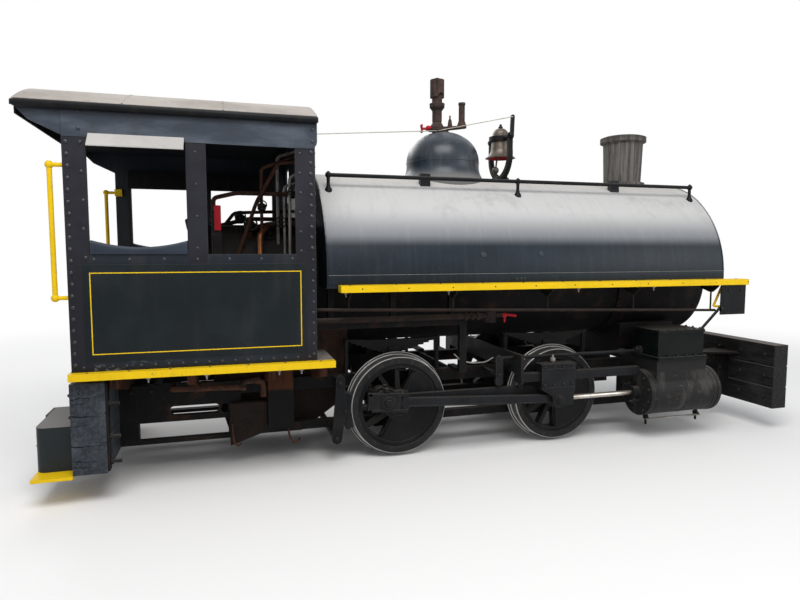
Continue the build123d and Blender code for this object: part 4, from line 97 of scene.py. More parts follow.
class Piece:
    """One named piece, filled form by form inside a with block and linked at its end.

    Everything is given for the left side; side -1 mirrors each place and axis to the right.
    """

    def __init__(self, name, surface, slot, side=1, **options):
        self.name, self.surface, self.slot, self.side = name, surface, slot, side
        self.options = options
        self.mesh = bmesh.new()

    def __enter__(self):
        return self

    def __exit__(self, *error):
        mesh = bpy.data.meshes.new(self.name)
        self.mesh.to_mesh(mesh)
        self.mesh.free()
        link_piece(self.name, mesh, self.surface, self.slot, **self.options)

    def sides(self):
        """Mirrors what follows to the right, and then takes the left side."""
        for side in SIDES.values():
            self.side = side
            yield

    def flip(self, vector):
        x, y, z = vector
        return x, self.side * y, z

    def box(self, low, high, bevel=0.0, turn=None):
        """Box between two corners, given in any order, turned by a matrix and with bevelled edges."""
        corners = bmesh.ops.create_cube(self.mesh, size=1.0)["verts"]
        ends = list(zip(self.flip(low), self.flip(high)))
        bmesh.ops.scale(self.mesh, vec=[abs(b - a) for a, b in ends], verts=corners)
        bmesh.ops.translate(self.mesh, vec=[(a + b) / 2 for a, b in ends], verts=corners)
        if turn:
            bmesh.ops.transform(self.mesh, matrix=turn, verts=corners)
        if bevel:
            edges = list({edge for vert in corners for edge in vert.link_edges})
            bmesh.ops.bevel(self.mesh, geom=edges, offset=bevel, segments=2, profile=0.7, affect="EDGES")

    def lathe(self, profile, base, axis, segments, ring_shaped=False):
        """Surface of revolution: profile rows are (radius, distance along the axis).

        A ring's last row is joined to its first; anything else is closed by flat ends.
        """
        mesh = self.mesh
        base = Vector(self.flip(base))
        turn = Vector(self.flip(axis)).normalized().to_track_quat("Z", "Y").to_matrix()
        rings = []
        for radius, along in profile:
            if radius < 1e-6:
                rings.append([mesh.verts.new(base + turn @ Vector((0, 0, along)))])
                continue
            ring = []
            for step in range(segments):
                angle = 2 * math.pi * step / segments
                point = Vector((radius * math.cos(angle), radius * math.sin(angle), along))
                ring.append(mesh.verts.new(base + turn @ point))
            rings.append(ring)
        if ring_shaped:
            rings.append(rings[0])
        for lower, upper in zip(rings, rings[1:]):
            for step in range(segments):
                after = (step + 1) % segments
                if len(lower) == 1:
                    mesh.faces.new((lower[0], upper[step], upper[after]))
                elif len(upper) == 1:
                    mesh.faces.new((lower[step], lower[after], upper[0]))
                else:
                    mesh.faces.new((lower[step], lower[after], upper[after], upper[step]))
        if not ring_shaped:
            for ring in (rings[0][::-1], rings[-1]):
                if len(ring) > 2:
                    mesh.faces.new(ring)

    def rod(self, start, end, radius, end_radius=None, *, segments):
        direction = Vector(end) - Vector(start)
        self.lathe(((radius, 0), (end_radius or radius, direction.length)), start, direction, segments)

    def rivet(self, place, axis, radius, height=None):
        height = height or radius * 0.7
        head = ((radius, 0), (radius * 0.86, height * 0.55), (radius * 0.45, height * 0.9), (0, height))
        self.lathe(head, place, axis, 10)

    def bolt(self, place, axis, radius, height=None):
        """Hexagon nut with the chamfered end of its bolt standing out of it."""
        height = height or radius * 0.8
        nut = ((radius, 0), (radius, height * 0.85), (radius * 0.86, height))
        self.lathe(nut, place, axis, 6)
        along = Vector(axis).normalized() * height
        end = ((radius * 0.5, -0.001), (radius * 0.5, height * 0.4), (radius * 0.36, height * 0.55))
        self.lathe(end, Vector(place) + along, axis, 8)

    def bolt_circle(self, count, centre, axis, radius, *sizes):
        """Bolts evenly spaced round a centre, on a face that looks along X."""
        x, y, z = centre
        for step in range(count):
            angle = 2 * math.pi * (step + 0.5) / count
            self.bolt((x, y + radius * math.cos(angle), z + radius * math.sin(angle)), axis, *sizes)

    def strip(self, lower, upper):
        """Faces between two rows of points."""
        rows = [[self.mesh.verts.new(self.flip(point)) for point in row] for row in zip(lower, upper)]
        for (a, b), (c, d) in zip(rows, rows[1:]):
            self.mesh.faces.new((a, c, d, b))

    def skin(self, sections, back=True):
        """Skin over sections of as many points each, with a face at its end and at its back."""
        rings = [[self.mesh.verts.new(self.flip(point)) for point in section] for section in sections]
        for before, after in zip(rings, rings[1:]):
            for here in range(len(before)):
                beyond = (here + 1) % len(before)
                self.mesh.faces.new((before[here], before[beyond], after[beyond], after[here]))
        for ring in (rings[0], rings[-1]) if back else rings[-1:]:
            self.mesh.faces.new(ring)
        bmesh.ops.recalc_face_normals(self.mesh, faces=self.mesh.faces)


def add_pipe(name, surface, slot, runs, side=1, bend=0.03):
    """Tubes along runs of (radius, points), given for the left side as in Piece.

    Corners are rounded by the bend radius.
    """
    curve = bpy.data.curves.new(name, "CURVE")
    curve.dimensions = "3D"
    curve.bevel_depth = 1.0
    curve.bevel_resolution = 3
    curve.use_fill_caps = True
    for radius, points in runs:
        points = [Vector((x, side * y, z)) for x, y, z in points]
        route = [points[0]]
        for before, corner, after in zip(points, points[1:], points[2:]):
            back = before - corner
            ahead = after - corner
            reach = min(bend, back.length * 0.45, ahead.length * 0.45)
            for share in (0.0, 0.25, 0.5, 0.75, 1.0):
                first = corner + back.normalized() * reach * (1 - share)
                second = corner + ahead.normalized() * reach * share
                route.append(first.lerp(second, share))
        route.append(points[-1])
        spline = curve.splines.new("POLY")
        spline.points.add(len(route) - 1)
        for point, place in zip(spline.points, route):
            point.co = (*place, 1)
            point.radius = radius
    holder = bpy.data.objects.new(name, curve)
    mesh = bpy.data.meshes.new_from_object(holder)
    bpy.data.objects.remove(holder)
    mesh.name = name
    link_piece(name, mesh, surface, slot, smooth_angle=50)


def spread(start, end, count):
    """Evenly spaced values from start to end."""
    return [start + (end - start) * step / (count - 1) for step in range(count)]


# Materials. Each is built from layers that a noise, a direction or an edge blends in.

class NodeGraph:
    """Emptied node tree of a material or a world, with a shorthand that adds its nodes."""

    def __init__(self, owner):
        owner.use_nodes = True
        self.tree = owner.node_tree
        self.tree.nodes.clear()

    def add(self, kind, inputs=None, **settings):
        """Node whose inputs get a plain value each, or another node's output."""
        node = self.tree.nodes.new(f"ShaderNode{kind}")
        for key, value in settings.items():
            setattr(node, key, value)
        for key, value in (inputs or {}).items():
            if isinstance(value, bpy.types.NodeSocket):
                self.tree.links.new(value, node.inputs[key])
            else:
                node.inputs[key].default_value = value
        return node

    def mixed(self, factor, first, second):
        """Blend of two shaders."""
        return self.add("MixShader", {0: factor, 1: first.outputs[0], 2: second.outputs[0]}).outputs[0]

    def math(self, operation, first, second):
        return self.add("Math", {0: first, 1: second}, operation=operation).outputs[0]

    def vector(self, operation, first, second, output="Vector"):
        return self.add("VectorMath", {0: first, 1: second}, operation=operation).outputs[output]

    def ramp(self, source, low, high):
        """Smooth rise from 0 at the low value to 1 at the high one."""
        inputs = {"Value": source, "From Min": low, "From Max": high}
        return self.add("MapRange", inputs, interpolation_type="SMOOTHSTEP").outputs["Result"]


class Surface(NodeGraph):
    """Principled material whose layers are added one after the other."""

    def __init__(self, name, colour, roughness, metallic=0.0, rounding=0.003):
        self.material = bpy.data.materials.new(name)
        super().__init__(self.material)
        self.metallic = metallic
        self.coordinates = self.add("TexCoord").outputs["Object"]
        self.facing = self.add("NewGeometry").outputs["Normal"]
        self.colour = self.add("RGB").outputs[0]
        self.colour.default_value = (*colour, 1)
        self.roughness = self.add("Value").outputs[0]
        self.roughness.default_value = roughness
        self.normal = self.rounded(rounding)

    def rounded(self, radius):
        """Normal that rounds the look of sharp edges."""
        return self.add("Bevel", {"Radius": radius}, samples=4).outputs[0]

    def noise(self, scale, stretch=(1, 1, 1), detail=5, grit=0.6):
        mapping = self.add("Mapping", {"Scale": stretch, "Vector": self.coordinates}).outputs[0]
        inputs = {"Scale": scale, "Detail": detail, "Roughness": grit, "Vector": mapping}
        return self.add("TexNoise", inputs).outputs["Fac"]

    def part_of(self, vector, axis):
        return self.add("SeparateXYZ", {0: vector}).outputs[axis]

    def both(self, first, second):
        return self.math("MULTIPLY", first, second)

    def spots(self, scale, low, high, **noise):
        """1 where a noise is above the high value."""
        return self.ramp(self.noise(scale, **noise), low, high)

    def upward(self, low, high):
        """1 where the surface faces up, by the height of its normal."""
        return self.ramp(self.part_of(self.facing, "Z"), low, high)

    def height(self, low, high):
        """0 below the low Z and 1 above the high Z, in the piece's own frame."""
        return self.ramp(self.part_of(self.coordinates, "Z"), low, high)

    def offset(self, centre, axes):
        """Way from a centre, along those axes that are 1."""
        return self.vector("MULTIPLY", self.vector("SUBTRACT", self.coordinates, centre), axes)

    def inward(self, axis_x):
        """1 where the surface faces an upright axis at this X, as on the inside of a bell."""
        flat = self.offset((axis_x, 0, 0), (1, 1, 0))
        normal = self.add("TexCoord").outputs["Normal"]
        return self.ramp(self.vector("DOT_PRODUCT", flat, normal, "Value"), -0.002, -0.006)

    def outward(self, low, high):
        """1 on walls that face away from the middle line, between two distances from it."""
        normal = self.add("TexCoord").outputs["Normal"]
        return self.ramp(self.part_of(self.vector("MULTIPLY", self.coordinates, normal), "Y"), low, high)

    def beyond(self, centre_z, low, high):
        """1 outside a lying cylinder round the line at this height."""
        flat = self.offset((0, 0, centre_z), (0, 1, 1))
        return self.ramp(self.vector("LENGTH", flat, (0, 0, 0), "Value"), low, high)

    def edges(self, width=0.006):
        """1 along sharp edges, from how far a rounded normal turns away from the flat one."""
        turned = self.vector("DOT_PRODUCT", self.rounded(width), self.facing, "Value")
        return self.ramp(turned, 0.98, 0.65)

    def layer(self, factor, colour, roughness, share=1.0):
        """Blends a colour and a roughness in by a factor, and by a share of it."""
        if share != 1.0:
            factor = self.both(factor, share)
        colours = {0: factor, 6: self.colour, 7: (*colour, 1)}
        self.colour = self.add("Mix", colours, data_type="RGBA").outputs[2]
        values = {0: factor, 2: self.roughness, 3: roughness}
        self.roughness = self.add("Mix", values, data_type="FLOAT").outputs[0]

    def bump(self, source, strength, distance):
        inputs = {"Strength": strength, "Distance": distance, "Height": source, "Normal": self.normal}
        self.normal = self.add("Bump", inputs).outputs[0]

    def grain(self, scale, strength, distance, **noise):
        """Bump from a noise of its own."""
        self.bump(self.noise(scale, **noise), strength, distance)

    def done(self, specular=0.12):
        inputs = {
            "Base Color": self.colour, "Roughness": self.roughness, "Normal": self.normal,
            "Metallic": self.metallic, "Specular IOR Level": specular,
        }
        self.add("OutputMaterial", {0: self.add("BsdfPrincipled", inputs).outputs[0]})
        return self.material


DUST = (0.13, 0.115, 0.1)
TRIM_BLACK = (0.009, 0.01, 0.012)


def shade(colour, factor, lift=0.0):
    return tuple(channel * factor + lift for channel in colour)


def black_paint(name, colour, dust_and_sheen_share, roughness, dust_and_sheen=DUST, rust_share=0.0, specular=0.12):
    """Worn satin paint over iron: blotches, dust on ledges that on the arm rest is a painted highlight,
    bare or rusty edges.
    """
    made = Surface(name, colour, roughness)
    made.layer(made.spots(2.6, 0.42, 0.68), shade(colour, 1.7, 0.002), roughness + 0.12, 0.6)
    made.layer(made.spots(9, 0.5, 0.72, stretch=(1, 1, 0.12)), shade(dust_and_sheen, 0.22), roughness + 0.16, 0.3)
    if rust_share:
        rust = made.spots(6, 0.53, 0.66, detail=9, grit=0.72)
        made.layer(rust, (0.085, 0.035, 0.018), 0.85, rust_share)
    # Paler on faces that turn upward: dust on most pieces, a painted highlight on the arm rest
    made.layer(made.upward(0.35, 0.95), dust_and_sheen, 0.8, dust_and_sheen_share)
    made.layer(made.edges(), (0.1, 0.09, 0.085), 0.5, 0.4)
    made.grain(160, 0.12, 0.001, detail=3)
    made.grain(7, 0.1, 0.004)
    return made.done(specular)


def bare_iron(name, colour, second, roughness=0.5, metallic=0.5, edge=(0.2, 0.19, 0.18)):
    """Oily cast or forged iron with grime and rubbed edges."""
    made = Surface(name, colour, roughness, metallic)
    made.layer(made.spots(5, 0.4, 0.65, detail=8), second, roughness + 0.2, 0.8)
    made.layer(made.spots(40, 0.5, 0.75), shade(colour, 0.5), 0.35, 0.5)
    made.layer(made.edges(0.005), edge, 0.35, 0.6)
    made.layer(made.upward(0.5, 1.0), DUST, 0.85, 0.35)
    made.grain(220, 0.25, 0.001, detail=3)
    made.grain(18, 0.2, 0.003, detail=6)
    return made.done()


def rusty(name, colour, dark, specks=0.6):
    """Scaled rust with dark patches and orange specks."""
    made = Surface(name, colour, 0.85, rounding=0.002)
    made.layer(made.spots(14, 0.4, 0.62, detail=9, grit=0.7), dark, 0.7, 0.9)
    made.layer(made.spots(60, 0.55, 0.75, detail=6), (0.2, 0.09, 0.04), 0.9, specks)
    made.layer(made.upward(0.4, 1.0), (0.16, 0.13, 0.11), 0.9, 0.3)
    made.grain(180, 0.4, 0.0015, detail=6)
    return made.done()


def painted_bright(name, colour, worn, roughness=0.38):
    """Bright paint with rubbed edges, specks of dirt and drips."""
    made = Surface(name, colour, roughness)
    made.layer(made.spots(3.5, 0.45, 0.7), shade(colour, 0.82), 0.5, 0.6)
    made.layer(made.spots(26, 0.62, 0.7, detail=8, grit=0.75), worn, 0.75, 0.75)
    made.layer(made.spots(60, 0.58, 0.75, stretch=(1, 1, 0.15)), worn, 0.6, 0.25)
    made.layer(made.edges(0.004), worn, 0.7, 0.45)
    made.grain(120, 0.1, 0.001, detail=4)
    return made.done()


def weathered_timber(name, colour, crack, stretch=(1, 0.07, 1)):
    """Painted timber gone grey, with grain and cracks along it."""
    made = Surface(name, colour, 0.62, rounding=0.006)
    fibres = made.noise(42, stretch, 6, 0.7)
    made.layer(made.ramp(fibres, 0.4, 0.66), shade(colour, 1.9, 0.01), 0.72, 0.8)
    made.layer(made.spots(4, 0.5, 0.7), shade(colour, 2.4, 0.02), 0.75, 0.45)
    made.layer(made.spots(13, 0.60, 0.635, stretch=stretch, detail=9, grit=0.8), crack, 0.9, 0.9)
    made.layer(made.upward(0.4, 1.0), (0.22, 0.2, 0.185), 0.85, 0.5)
    made.layer(made.edges(0.008), shade(colour, 3, 0.03), 0.8, 0.4)
    made.bump(fibres, 0.35, 0.003)
    made.grain(13, 0.4, 0.006, stretch=stretch, detail=9, grit=0.8)
    return made.done()


def tank_surface():
    """Blue-black sides with runs of dirt, under a crown made pale partly by dust and partly by a painted
    reflection of the sky.
    """
    made = Surface("tank_paint", (0.006, 0.011, 0.017), 0.4, rounding=0.004)
    made.layer(made.spots(1.6, 0.4, 0.7, stretch=(1, 1, 2.2)), (0.010, 0.017, 0.025), 0.46, 0.9)
    runs = made.spots(26, 0.48, 0.75, stretch=(1, 0.22, 0.08), detail=6)
    made.layer(runs, (0.035, 0.045, 0.055), 0.5, 0.3)
    # Painted sky reflection and highlight, with dust at the very top: faces that turn upward get paler in
    # steps up to the crown
    made.layer(made.upward(0.29, 0.41), (0.17, 0.18, 0.195), 0.5, 0.92)
    made.layer(made.upward(0.36, 0.66), (0.47, 0.465, 0.455), 0.62, 0.95)
    made.layer(made.upward(0.82, 0.97), (0.44, 0.41, 0.375), 0.7, 0.8)
    stains = made.spots(3.2, 0.5, 0.72, detail=8, grit=0.7)
    made.layer(made.both(stains, made.upward(0.4, 0.6)), (0.24, 0.235, 0.23), 0.6, 0.45)
    made.layer(made.both(runs, made.upward(0.3, 0.5)), (0.3, 0.3, 0.3), 0.6, 0.3)
    made.layer(made.spots(38, 0.62, 0.74, detail=8), (0.2, 0.19, 0.18), 0.7, 0.12)
    made.layer(made.edges(), (0.07, 0.068, 0.066), 0.5, 0.4)
    # Black cleats, which are one solid with the tank
    cleats = made.both(made.beyond(TANK_CENTRE_Z, TANK_Y + 0.003, TANK_Y + 0.006), made.height(2.0, 2.05))
    made.layer(cleats, (0.006, 0.007, 0.008), 0.5)
    made.grain(3.2, 0.12, 0.01)
    made.grain(150, 0.06, 0.001, detail=3)
    return made.done(specular=0.2)


def cylinder_surface():
    """Gloss black chest above, oily iron barrel with bare patches below."""
    made = Surface("cylinder_paint", (0.0025, 0.0045, 0.004), 0.24, rounding=0.004)
    made.layer(made.spots(4, 0.45, 0.7), (0.006, 0.008, 0.007), 0.34, 0.7)
    made.layer(made.height(CHEST_FOOT_Z + 0.004, CHEST_FOOT_Z - 0.004), (0.014, 0.0135, 0.0135), 0.5)
    barrel = made.height(CHEST_FOOT_Z - 0.09, CHEST_FOOT_Z - 0.11)
    patches = made.spots(5.5, 0.5, 0.62, stretch=(1, 1, 0.5), detail=7, grit=0.7)
    made.layer(made.both(patches, barrel), (0.04, 0.0375, 0.035), 0.42, 0.85)
    scuffs = made.spots(30, 0.58, 0.68, stretch=(0.3, 1, 1), detail=8, grit=0.75)
    made.layer(made.both(scuffs, barrel), (0.12, 0.115, 0.105), 0.5, 0.5)
    made.layer(made.upward(0.75, 1.0), (0.1, 0.09, 0.08), 0.7, 0.4)
    made.layer(made.edges(0.005), (0.09, 0.085, 0.08), 0.4, 0.5)
    made.grain(120, 0.15, 0.001, detail=4)
    return made.done()


def bell_surface():
    """Tarnished bronze outside and red paint inside."""
    made = Surface("bell_bronze", (0.13, 0.105, 0.085), 0.4, 0.6)
    made.layer(made.spots(7, 0.4, 0.65, detail=8), (0.06, 0.055, 0.05), 0.5, 0.8)
    made.layer(made.spots(40, 0.55, 0.75, stretch=(1, 1, 0.2)), (0.2, 0.18, 0.15), 0.45, 0.5)
    made.layer(made.both(made.inward(BELL_X), made.height(2.415, 2.425)), (0.3, 0.01, 0.014), 0.6)
    made.grain(120, 0.12, 0.001, detail=4)
    return made.done(specular=0.4)


def cab_surface():
    """Black sides under a slate-blue fascia that the sky has bleached, with painted shade along its top
    under the roof's rolled edge.
    """
    made = Surface("cab_paint", (0.008, 0.0115, 0.017), 0.36)
    made.layer(made.spots(2.6, 0.42, 0.68), (0.015, 0.02, 0.029), 0.48, 0.6)
    walls = made.outward(0.85, 0.93)
    fascia = made.both(made.height(FASCIA_FOOT_Z - 0.012, FASCIA_FOOT_Z - 0.008), walls)
    made.layer(fascia, (0.034, 0.042, 0.056), 0.34)
    paler = made.spots(2.2, 0.42, 0.68, stretch=(1, 1, 3), detail=6)
    made.layer(made.both(paler, fascia), (0.082, 0.096, 0.12), 0.4, 0.85)
    # Painted shade: a darker band along the top of the fascia, under the roof's rolled edge
    made.layer(made.both(fascia, made.height(2.40, 2.455)), (0.016, 0.019, 0.026), 0.4, 0.8)
    # Paint chipped along the foot, towards the rear
    chips = made.spots(9, 0.545, 0.57, stretch=(1, 1, 2.5), detail=9, grit=0.75)
    rear = made.ramp(made.part_of(made.coordinates, "X"), -2.0, -2.35)
    made.layer(made.both(chips, made.both(made.height(0.93, 0.88), rear)), (0.13, 0.14, 0.155), 0.6, 0.75)
    made.layer(made.spots(9, 0.5, 0.72, stretch=(1, 1, 0.12)), (0.035, 0.034, 0.033), 0.52, 0.3)
    made.layer(made.upward(0.35, 0.95), DUST, 0.8, 0.3)
    made.layer(made.edges(), (0.1, 0.095, 0.09), 0.5, 0.4)
    made.grain(160, 0.12, 0.001, detail=3)
    made.grain(7, 0.1, 0.004)
    return made.done(specular=0.2)


def dome_surface():
    """Blue-black crown with pale runs round its foot."""
    made = Surface("dome_paint", (0.010, 0.016, 0.024), 0.32, rounding=0.004)
    made.layer(made.spots(3, 0.4, 0.7), (0.024, 0.033, 0.045), 0.42, 0.8)
    made.layer(made.spots(24, 0.5, 0.74, stretch=(1, 1, 0.1), detail=6), (0.07, 0.075, 0.08), 0.55, 0.4)
    # Painted sky reflection: faces that turn upward go paler and bluer, with brownish dust on the very
    # top
    made.layer(made.upward(0.5, 0.95), (0.075, 0.085, 0.1), 0.45, 0.7)
    made.layer(made.upward(0.9, 1.0), (0.14, 0.12, 0.1), 0.6, 0.7)
    made.layer(made.height(2.28, 2.20), (0.17, 0.165, 0.155), 0.6, 0.7)
    made.grain(120, 0.08, 0.001, detail=3)
    return made.done(specular=0.35)


def stack_surface():
    """Bare plate with close upright streaks of soot."""
    made = Surface("stack_metal", (0.125, 0.118, 0.11), 0.75)
    runs = made.noise(34, (1, 1, 0.045), 7, 0.75)
    made.layer(made.ramp(runs, 0.42, 0.56), (0.05, 0.044, 0.04), 0.8, 0.9)
    made.layer(made.spots(60, 0.56, 0.7, stretch=(1, 1, 0.03), detail=6), (0.22, 0.21, 0.2), 0.7, 0.6)
    made.layer(made.height(2.60, 2.68), (0.04, 0.036, 0.032), 0.85, 0.7)
    made.bump(runs, 0.3, 0.002)
    return made.done()


def roof_surface():
    """Pale dust on top, black paint along the drip edge and underneath."""
    made = Surface("roof_dust", (0.35, 0.32, 0.29), 0.8, rounding=0.004)
    made.layer(made.spots(2.2, 0.42, 0.68), (0.26, 0.235, 0.21), 0.85, 0.8)
    made.layer(made.spots(20, 0.55, 0.68, detail=9, grit=0.75), (0.12, 0.1, 0.09), 0.85, 0.5)
    made.layer(made.spots(9, 0.55, 0.75, stretch=(0.1, 1, 1)), (0.36, 0.345, 0.325), 0.8, 0.5)
    made.layer(made.height(2.482, 2.476), TRIM_BLACK, 0.4)
    made.layer(made.upward(0.1, -0.2), TRIM_BLACK, 0.5)
    made.grain(90, 0.25, 0.002, detail=6)
    return made.done()


def tread_surface():
    """Oily face and tread, with a bright line where the rail rubs the outer edge."""
    made = Surface("tyre_steel", (0.012, 0.0125, 0.0135), 0.45, 0.3, rounding=0.001)
    made.layer(made.spots(12, 0.45, 0.7, detail=7), (0.024, 0.023, 0.022), 0.6, 0.7)
    sideways = made.part_of(made.facing, "Y")
    square = made.both(sideways, sideways)
    made.layer(made.ramp(square, 0.2, 0.05), (0.12, 0.115, 0.11), 0.35, 0.8)
    made.layer(made.spots(30, 0.5, 0.72, stretch=(1, 0.1, 1)), (0.06, 0.05, 0.045), 0.5, 0.5)
    chamfer = made.both(made.ramp(square, 0.12, 0.3), made.ramp(square, 0.9, 0.7))
    made.layer(chamfer, (0.55, 0.54, 0.52), 0.3, 0.85)
    made.grain(90, 0.1, 0.001, detail=4)
    return made.done(specular=0.2)


def bearer_surface():
    """Sooty black plate with orange rust that streaks its upper half."""
    made = Surface("bearer_paint", (0.004, 0.0038, 0.0042), 0.62)
    made.layer(made.spots(5, 0.45, 0.7, detail=7), (0.012, 0.0115, 0.0115), 0.7, 0.6)
    streaks = made.spots(20, 0.32, 0.6, stretch=(1, 1, 0.12), detail=7, grit=0.7)
    upper_half = made.height(BEARER_RUST_Z, BEARER_RUST_Z + 0.03)
    made.layer(made.both(streaks, upper_half), (0.085, 0.03, 0.013), 0.85, 0.8)
    made.grain(150, 0.3, 0.001, detail=5)
    return made.done()


BLACK = black_paint("black_paint", (0.005, 0.0055, 0.0065), 0.25, 0.48)
SOOTY = black_paint("sooty_black", (0.004, 0.0038, 0.0042), 0.2, 0.62, rust_share=0.22)
CAB = cab_surface()
PANEL = black_paint("panel_paint", (0.008, 0.0115, 0.0135), 0.25, 0.3)
POST = black_paint("post_paint", (0.0135, 0.0135, 0.018), 0.3, 0.42)
RIVET = black_paint("rivet_paint", (0.016, 0.0165, 0.021), 0.25, 0.3, specular=0.4)
PLUG = black_paint("plug_paint", (0.03, 0.036, 0.044), 0.25, 0.4)
CHEST = black_paint("chest_paint", (0.0025, 0.004, 0.0038), 0.3, 0.3)
BUMPER = black_paint("bumper_paint", (0.018, 0.022, 0.024), 0.7, 0.36, dust_and_sheen=(0.2, 0.19, 0.18))
TANK = tank_surface()
DOME = dome_surface()
STACK = stack_surface()
ROOF = roof_surface()
TYRE = tread_surface()
CYLINDER = cylinder_surface()
BELL = bell_surface()
IRON = bare_iron(
    "oily_iron", (0.008, 0.0085, 0.0095), (0.018, 0.0165, 0.0155), 0.5, 0.2, edge=(0.12, 0.115, 0.11)
)
ROD = bare_iron(
    "rod_steel", (0.016, 0.017, 0.019), (0.011, 0.0105, 0.0105), 0.42, 0.4, edge=(0.14, 0.135, 0.13)
)
BRIGHT = bare_iron(
    "bright_rod", (0.55, 0.52, 0.47), (0.35, 0.3, 0.25), 0.25, 1.0, edge=(0.7, 0.68, 0.65)
)
RUST = rusty("rusty_iron", (0.07, 0.029, 0.018), (0.02, 0.014, 0.012))
SIDE_PIPE = rusty("side_pipe_rust", (0.025, 0.0165, 0.014), (0.009, 0.0085, 0.0085), 0.15)
WHISTLE = rusty("whistle_rust", (0.062, 0.038, 0.031), (0.021, 0.018, 0.017), 0.25)
PAN = rusty("ash_pan_plate", (0.018, 0.0115, 0.009), (0.008, 0.007, 0.0065), 0.08)
FIREBOX = rusty("rusty_plate", (0.036, 0.019, 0.013), (0.012, 0.009, 0.008), 0.12)
BEARER = bearer_surface()
PALE_PIPE = bare_iron("pale_pipe", (0.32, 0.3, 0.28), (0.16, 0.14, 0.12), 0.5, 0.3)
COPPER = bare_iron("copper_pipe", (0.3, 0.12, 0.05), (0.12, 0.055, 0.03), 0.35, 0.9, (0.5, 0.25, 0.12))
BRONZE = bare_iron("gauge_bronze", (0.16, 0.13, 0.1), (0.075, 0.07, 0.06), 0.38, 0.85, (0.3, 0.24, 0.16))
YELLOW = painted_bright("yellow_paint", (0.72, 0.47, 0.006), (0.16, 0.12, 0.05))
RED = painted_bright("red_paint", (0.36, 0.012, 0.02), (0.1, 0.03, 0.025))
VISOR = painted_bright("visor_paint", (0.44, 0.42, 0.4), (0.2, 0.18, 0.16), 0.6)
# Pale strip on the tank lap's upper edge, a painted highlight
LAP_HIGHLIGHT = painted_bright("lap_edge_highlight", (0.3, 0.28, 0.26), (0.08, 0.07, 0.065), 0.7)
ALONG_X = (0.07, 1, 1)
REAR_TIMBER = weathered_timber("rear_timber", (0.022, 0.026, 0.032), (0.006, 0.006, 0.007))
FRONT_TIMBER = weathered_timber("front_timber", (0.009, 0.0085, 0.0085), (0.003, 0.0025, 0.0025))
DECK_TIMBER = weathered_timber("deck_timber", (0.09, 0.075, 0.06), (0.02, 0.016, 0.012), ALONG_X)
# Arm rest cover, whose paler bluish tone on faces that turn upward is a painted highlight
REST = black_paint("rest_cover", (0.018, 0.024, 0.035), 0.6, 0.4, dust_and_sheen=(0.09, 0.1, 0.12))
CRACK = black_paint("timber_crack", (0.003, 0.003, 0.0035), 0.0, 0.8)
CORD = weathered_timber("cord_fibre", (0.3, 0.28, 0.24), (0.12, 0.1, 0.08), ALONG_X)

NODE_SURFACES = {
    TYRE: "front_tyres rear_tyres",
    TANK: "saddle_tank",
    DOME: "steam_dome",
    STACK: "stack",
    ROOF: "cab_roof",
    CAB: "cab_side_left cab_side_right cab_front",
    YELLOW: "running_boards step_boards grab_rails bumper_steps",
    VISOR: "window_visors",
    REAR_TIMBER: "rear_beam",
    BUMPER: "rear_bumper",
    FRONT_TIMBER: "front_beam",
    DECK_TIMBER: "cab_deck seat_boxes",
    BELL: "bell",
    CYLINDER: "cylinders",
    WHISTLE: "whistle dome_turret",
    SIDE_PIPE: "side_pipes",
    PAN: "ash_pan",
    FIREBOX: "firebox",
    BEARER: "deck_bearers",
    ROD: """main_rod_left main_rod_right side_rod_left side_rod_right
        crosshead_left crosshead_right guide_bars valve_rods""",
    IRON: """front_axle rear_axle axleboxes front_wheel_centres rear_wheel_centres springs brake_gear
        bell_yoke bell_stand reverse_lever fire_door front_coupler rear_coupler guide_yoke""",
    SOOTY: """main_frames boiler smokebox smokebox_saddle tank_bearers board_brackets
        backhead_fittings smokebox_door smokebox_hinge""",
    BLACK: "tank_handrails board_end_plates",
}
for surface, names in NODE_SURFACES.items():
    for name in names.split():
        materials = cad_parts[name].data.materials
        materials.clear()
        materials.append(surface)


# Cab: posts, panel and fascia laid on the plain walls, with their rivets

def build_cab_posts(name, side):
    # Strip: rear X, front X, bottom Z, top Z
    posts = (
        (CAB_REAR_X, -2.580, CAB_FOOT_Z, 2.296),
        (-2.013, -1.894, 1.500, FASCIA_FOOT_Z),
        (-1.333, CAB_FRONT_X, CAB_FOOT_Z, FASCIA_FOOT_Z),
    )
    with Piece(f"cab_posts_{name}", POST, "cab_black", side) as strips:
        for rear, front, bottom, top in posts:
            strips.box((rear, CAB_Y, bottom), (front, CAB_Y + 0.005, top), 0.0015)


def build_cab_panel(name, side):
    """Sheets below the windows, the fascia above them and the big panel with its yellow line."""
    corner_x, corner_z, corner_radius = -1.236, 2.322, 0.05
    outline = [(-2.706, 2.468), (-2.706, 2.282), (corner_x, 2.272)]
    for angle in spread(0.2, math.pi / 2, 5):
        x, z = corner_radius * math.sin(angle), corner_radius * math.cos(angle)
        outline.append((corner_x + x, corner_z - z))
    outline.append((-1.186, 2.468))
    with Piece(f"cab_fascia_{name}", CAB, "cab_black", side) as plates:
        plates.box((CAB_REAR_X, CAB_Y, CAB_FOOT_Z), (CAB_FRONT_X, CAB_Y + 0.004, 0.925), 0.0012)
        plates.box((-2.580, CAB_Y, 1.512), (-1.333, CAB_Y + 0.004, 1.580), 0.0012)
        plates.skin([[(x, y, z) for x, z in outline] for y in (CAB_Y, CAB_Y + 0.007)], back=False)

    panel_face = CAB_Y + 0.008
    with Piece(f"cab_panel_{name}", PANEL, "cab_black", side) as sheet:
        sheet.box((-2.628, CAB_Y, 0.915), (-1.268, panel_face, 1.518), 0.002)
    rear, front, low, high, width = -2.588, -1.302, 0.960, 1.469, 0.0068
    lines = (
        (rear, low, front, low + width),
        (rear, high - width, front, high),
        (rear, low + width, rear + width, high - width),
        (front - width, low + width, front, high - width),
    )
    with Piece(f"cab_line_{name}", YELLOW, "yellow", side, smooth_angle=None) as line:
        for x0, z0, x1, z1 in lines:
            line.box((x0, panel_face - 0.001, z0), (x1, panel_face + 0.0006, z1))


